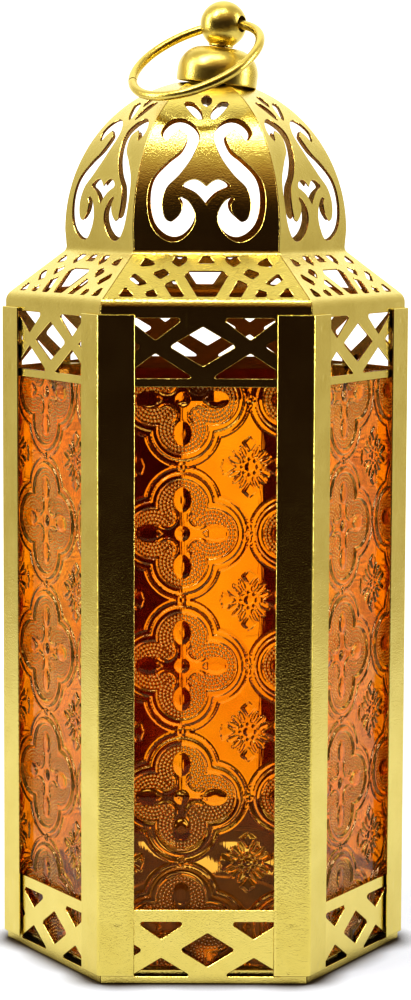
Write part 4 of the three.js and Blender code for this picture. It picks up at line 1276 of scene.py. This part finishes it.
def rolled_knuckle(plate_end, bottom):
    """Sheet rolled into a barrel at the end of a plate, facing -Y with the hinge at negative x."""
    side = math.copysign(1.0, plate_end + HINGE_X)
    plate = np.array([(plate_end, -LEAF_INSIDE), (-HINGE_X + side * 0.4, -LEAF_INSIDE)])
    barrel = arc_points((-HINGE_X, -HINGE_DISTANCE), HINGE_BARREL, 90, 90 + side * KNUCKLE_TURN, 33)
    path = np.concatenate([divided(plate, 0.6, closed=False), barrel])
    section = sheet_ring(path[::int(side)], HINGE_BARREL - HINGE_BORE, FINE_EDGE)
    stations = [bottom, bottom + KNUCKLE_LENGTH / 2, bottom + KNUCKLE_LENGTH]
    return swept(section, stations, upright, KNUCKLE_EDGE)


def pin_shape(foot, head):
    """Hinge pin between two heights, with a chamfered foot and a domed head on top."""
    points = [(0, foot), (0.6, foot), (0.75, foot + 0.15), (0.75, head), (1.2, head), (1.3, head + 0.15),
              (1.25, head + 0.4), (0.95, head + 0.62), (0.5, head + 0.7), (0, head + 0.7)]
    return lathe(points, 28, 0.8).moved(lambda vertices: vertices + (-HINGE_X, -HINGE_DISTANCE, 0))


def build_door(gold, steel):
    outer = rounded(rectangle(*LEAF_EDGES, *LEAF_SPAN), LEAF_CORNER)
    window = rounded(rectangle(*LEAF_WINDOW, *LEAF_WINDOW_SPAN), LEAF_CORNER)
    loops = [divided(loop, LEAF_STEP) for loop in (outer, window)]
    leaf = sheet_shape(loops[0], loops[1:], [], flat_place(LEAF_INSIDE + SHEET))
    make_piece("door_sheet", leaf, gold, body="door", replaces=["door_leaf"], angle=REAR)
    for level, height in HINGE_HEIGHTS.items():
        knuckle = rolled_knuckle(HINGE_PLATE_ENDS["door"], height + KNUCKLE_RISE)
        make_piece(f"door_knuckle_{level}", knuckle, gold, body="door", angle=REAR)
        bracket = rolled_knuckle(HINGE_PLATE_ENDS["bracket"], height - KNUCKLE_LENGTH)
        make_piece(f"bracket_{level}", bracket, steel, replaces=[f"hinge_bracket_{level}"], angle=REAR)
        pin = pin_shape(height - KNUCKLE_LENGTH - PIN_PROUD, height + KNUCKLE_LENGTH + PIN_PROUD)
        make_piece(f"pin_{level}", pin, steel, replaces=[f"hinge_pin_{level}"], angle=REAR)


def build_latch(steel):
    head = arc_points(LATCH, LATCH_HEAD, 0, 180, 19)
    tip = arc_points((LATCH[0], LATCH[1] - LATCH_REACH), LATCH_TIP, 180, 360, 15)
    bore = arc_points(LATCH, LATCH_BORE, 0, 360, 24)[:-1]
    outside = LEAF_INSIDE + SHEET + LATCH_GAP + LATCH_SHEET
    arm = sheet_shape(np.concatenate([head, tip]), [bore], [], flat_place(outside), LATCH_SHEET)
    arm.marks.clear()
    make_piece("latch_arm", arm, steel, body="latch", replaces=["latch_button"], angle=REAR)
    seat, top = LEAF_INSIDE, outside + LATCH_GAP
    crown = arc_points((0, top + 0.1), (1.9, 0.65), 0, 90, 8)[:-1]
    points = [(0, seat), (1.6, seat), (1.7, seat + 0.1), (1.7, seat + 0.4), (1.6, seat + 0.5),
              (0.8, seat + 0.5), (0.8, top), (1.8, top), *crown, (0, top + 0.75)]
    rivet = lathe(points, 32, 0.5).moved(
        lambda v: np.column_stack([v[:, 0] + LATCH[0], -v[:, 2], v[:, 1] + LATCH[1]]))
    make_piece("rivet", rivet, steel, replaces=["latch_rivet"], angle=REAR)


# ---------------------------------------------------------------- finial and ring


def leaning(vertices):
    """Vertices along the finial's own axis, put in the lantern's frame."""
    return vertices @ np.array(Matrix.Rotation(LEAN, 3, "Y")).T + (0, 0, LEAN_PIVOT_Z)


def cap_shape():
    """Hollow cap with a rolled foot, a domed crown and a hole for the stud."""
    top = CAP_SHOULDER + CAP_RISE
    crown = arc_points((CAP_FLAT, CAP_SHOULDER), (6.6, CAP_RISE), 0, 90, 22)
    under = arc_points((CAP_FLAT, CAP_SHOULDER), (5.9, CAP_RISE - CAP_SHEET), 90, 0, 18)
    points = [(10.75, CAP_FOOT), (10.95, CAP_FOOT + 0.12), (11.0, CAP_FOOT + 0.35), *crown, (BORE, top),
              (BORE, top - CAP_SHEET), *under, (10.3, CAP_FOOT + 0.1), (10.45, CAP_FOOT)]
    return hollow_lathe(points, 96, 0.8)


def stud_shape():
    """Stud with threads below the cap, from its chamfered foot to its chamfered head."""
    points = [(0, 17.6), (1.7, 17.6), (2.0, 17.9)]
    for height in np.arange(18.3, 23.2, 0.7):
        points += [(2.0, height), (1.72, height + 0.3), (2.0, height + 0.6)]
    points += [(2.0, 23.6), (2.0, 35.9), (1.7, 36.2), (0, 36.2)]
    return lathe(points, 32, 3.0)


def nut_shape():
    """Hexagon nut whose corners are turned away towards both faces."""
    steps = 48
    angles = np.arange(steps) * 2 * math.pi / steps
    flats = NUT_RADIUS * COS_HALF / np.cos(angles % SIXTH - SIXTH / 2)
    rings = []
    for radius, height in NUT:
        outside = radius > NUT_RADIUS * COS_HALF
        rings.append(turned_ring(np.minimum(radius, flats) if outside else radius, height, steps))
    return tube(rings, closed=True)


def ring_frame():
    """Middle of the ball's cross hole, the hole's axis and the direction in which the ring hangs."""
    lean = Vector((math.sin(LEAN), 0, math.cos(LEAN)))
    origin = lean * BALL_CENTRE + Vector((0, 0, LEAN_PIVOT_Z - RING_HOLE_DROP))
    flat = math.cos(RING_HOLE_RISE)
    axis = Vector((flat * math.cos(RING_HOLE_BEARING), flat * math.sin(RING_HOLE_BEARING),
                   math.sin(RING_HOLE_RISE)))
    level = -Vector((0, 0, 1)).cross(axis).normalized()
    down = axis.cross(level).normalized()
    if down.z > 0:
        down.negate()
    hang = level * math.cos(RING_DIP) + down * math.sin(RING_DIP)
    return origin, axis, hang


def build_ball(finial):
    """Ball with a waisted neck, a bore for the stud and a cross hole for the ring."""
    contact = math.degrees(math.asin(3.4 / BALL_RADIUS)) - 90 + 8
    sphere = arc_points((0, BALL_CENTRE), BALL_RADIUS, contact, 90, 40)[:-1]
    points = [(0, 36.5), (BORE, 36.5), (BORE, NECK_FOOT), (3.2, NECK_FOOT), (3.4, NECK_FOOT + 0.15),
              (3.32, NECK_FOOT + 0.5), *sphere, (0, BALL_CENTRE + BALL_RADIUS)]
    shape = lathe(points, 96, 0.6).moved(leaning)
    ball = make_piece("ball", shape, finial, replaces=["finial_ball"])
    origin, axis, _ = ring_frame()
    facing = np.array(axis.to_track_quat("Z", "Y").to_matrix()).T
    drill = lathe([(0, -12), (RING_HOLE, -12), (RING_HOLE, 12), (0, 12)], 48, 12)
    drill = drill.moved(lambda vertices: vertices @ facing + np.array(origin))
    cutter = make_piece("cutter", drill, finial)
    cut = ball.modifiers.new("cross_hole", "BOOLEAN")
    cut.object = cutter
    cut.solver = "EXACT"
    bpy.context.view_layer.update()
    mesh = bpy.data.meshes.new_from_object(ball.evaluated_get(bpy.context.evaluated_depsgraph_get()))
    ball.modifiers.clear()
    ball.data = mesh
    mesh.name = "ball"
    mesh.set_sharp_from_angle(angle=SHARP_ANGLE)
    bpy.data.objects.remove(cutter)


def build_finial(finial, steel):
    make_piece("cap", cap_shape().moved(leaning), finial, replaces=["finial_cap"])
    build_ball(finial)
    for name, shape in (("stud", stud_shape()), ("washer", hollow_lathe(WASHER, 64, 2.0)),
                        ("nut", nut_shape())):
        make_piece(name, shape.moved(leaning), steel, replaces=[f"finial_{name}"])


def build_ring(finial):
    """Wire bent to a ring, with a fine butt joint where its ends meet."""
    origin, axis, hang = ring_frame()
    steps, around = 180, 28
    gap = WIRE_HALF_GAP / RING_RADIUS
    inwards, onwards = WIRE_BEVEL[0], WIRE_BEVEL[1] / RING_RADIUS
    angles = WIRE_JOINT + np.linspace(gap, 2 * math.pi - gap, steps + 1)
    radii = np.full(steps + 1, WIRE_RADIUS)
    radii[[0, -1]] -= inwards
    angles[1], angles[-2] = angles[0] + onwards, angles[-1] - onwards
    section = turned_ring(1.0, 0.0, around)
    rings = []
    for radius, angle in zip(radii, angles):
        out = np.array([math.cos(angle), math.sin(angle), 0.0])
        rings.append(out * RING_RADIUS + radius * (section[:, :1] * out + section[:, 1:2] * (0, 0, 1)))
    shape = tube(rings)
    quads, caps = shape.faces
    shape.faces = [quads[:, [0, 3, 2, 1]], caps[:, ::-1]]
    basis = np.array([axis, hang, axis.cross(hang)])
    shape.vertices = (shape.vertices + (0, RING_RADIUS - RING_BOW, 0)) @ basis + np.array(origin)
    make_piece("wire_ring", shape, finial, body="handle_ring", replaces=["ring"])


# ---------------------------------------------------------------- base pan and candle cup


def hexagon_ring(apothem, height):
    corners = arc_points((0, 0), apothem / COS_HALF, 0, 300, 5)
    return upright(rounded(corners, PAN_CORNER, 6), height)


def build_base(gold, steel):
    pan = tube([hexagon_ring(apothem, height) for apothem, height in PAN])
    make_piece("pan", pan, gold, replaces=["base_pan"])
    make_piece("cup", lathe(CUP, 96, 2.0), steel, replaces=["candle_cup"])


# ---------------------------------------------------------------- start

make_camera()
make_world()
make_floor()
for light in LIGHTS:
    make_light(*light)
GOLD = (gold_material("satin_gold", GOLD_TONES, 0.16, 0.062, 0.02), "gold_sheet")
FINIAL = (gold_material("finial_gold", FINIAL_TONES, 0.26, 0.05, 0.0), "finial_gold")
STEEL = (steel_material(), "plated_steel")
AMBER = (amber_material(), "amber_glass")
build_walls(GOLD)
build_strips(GOLD)
build_panes(AMBER)
build_clips(GOLD)
build_door(GOLD, STEEL)
build_latch(STEEL)
build_finial(FINIAL, STEEL)
build_ring(FINIAL)
build_base(GOLD, STEEL)

bpy.context.scene.view_settings.view_transform = "Standard"
bpy.context.scene.view_settings.look = "High Contrast"

bpy.context.view_layer.update()
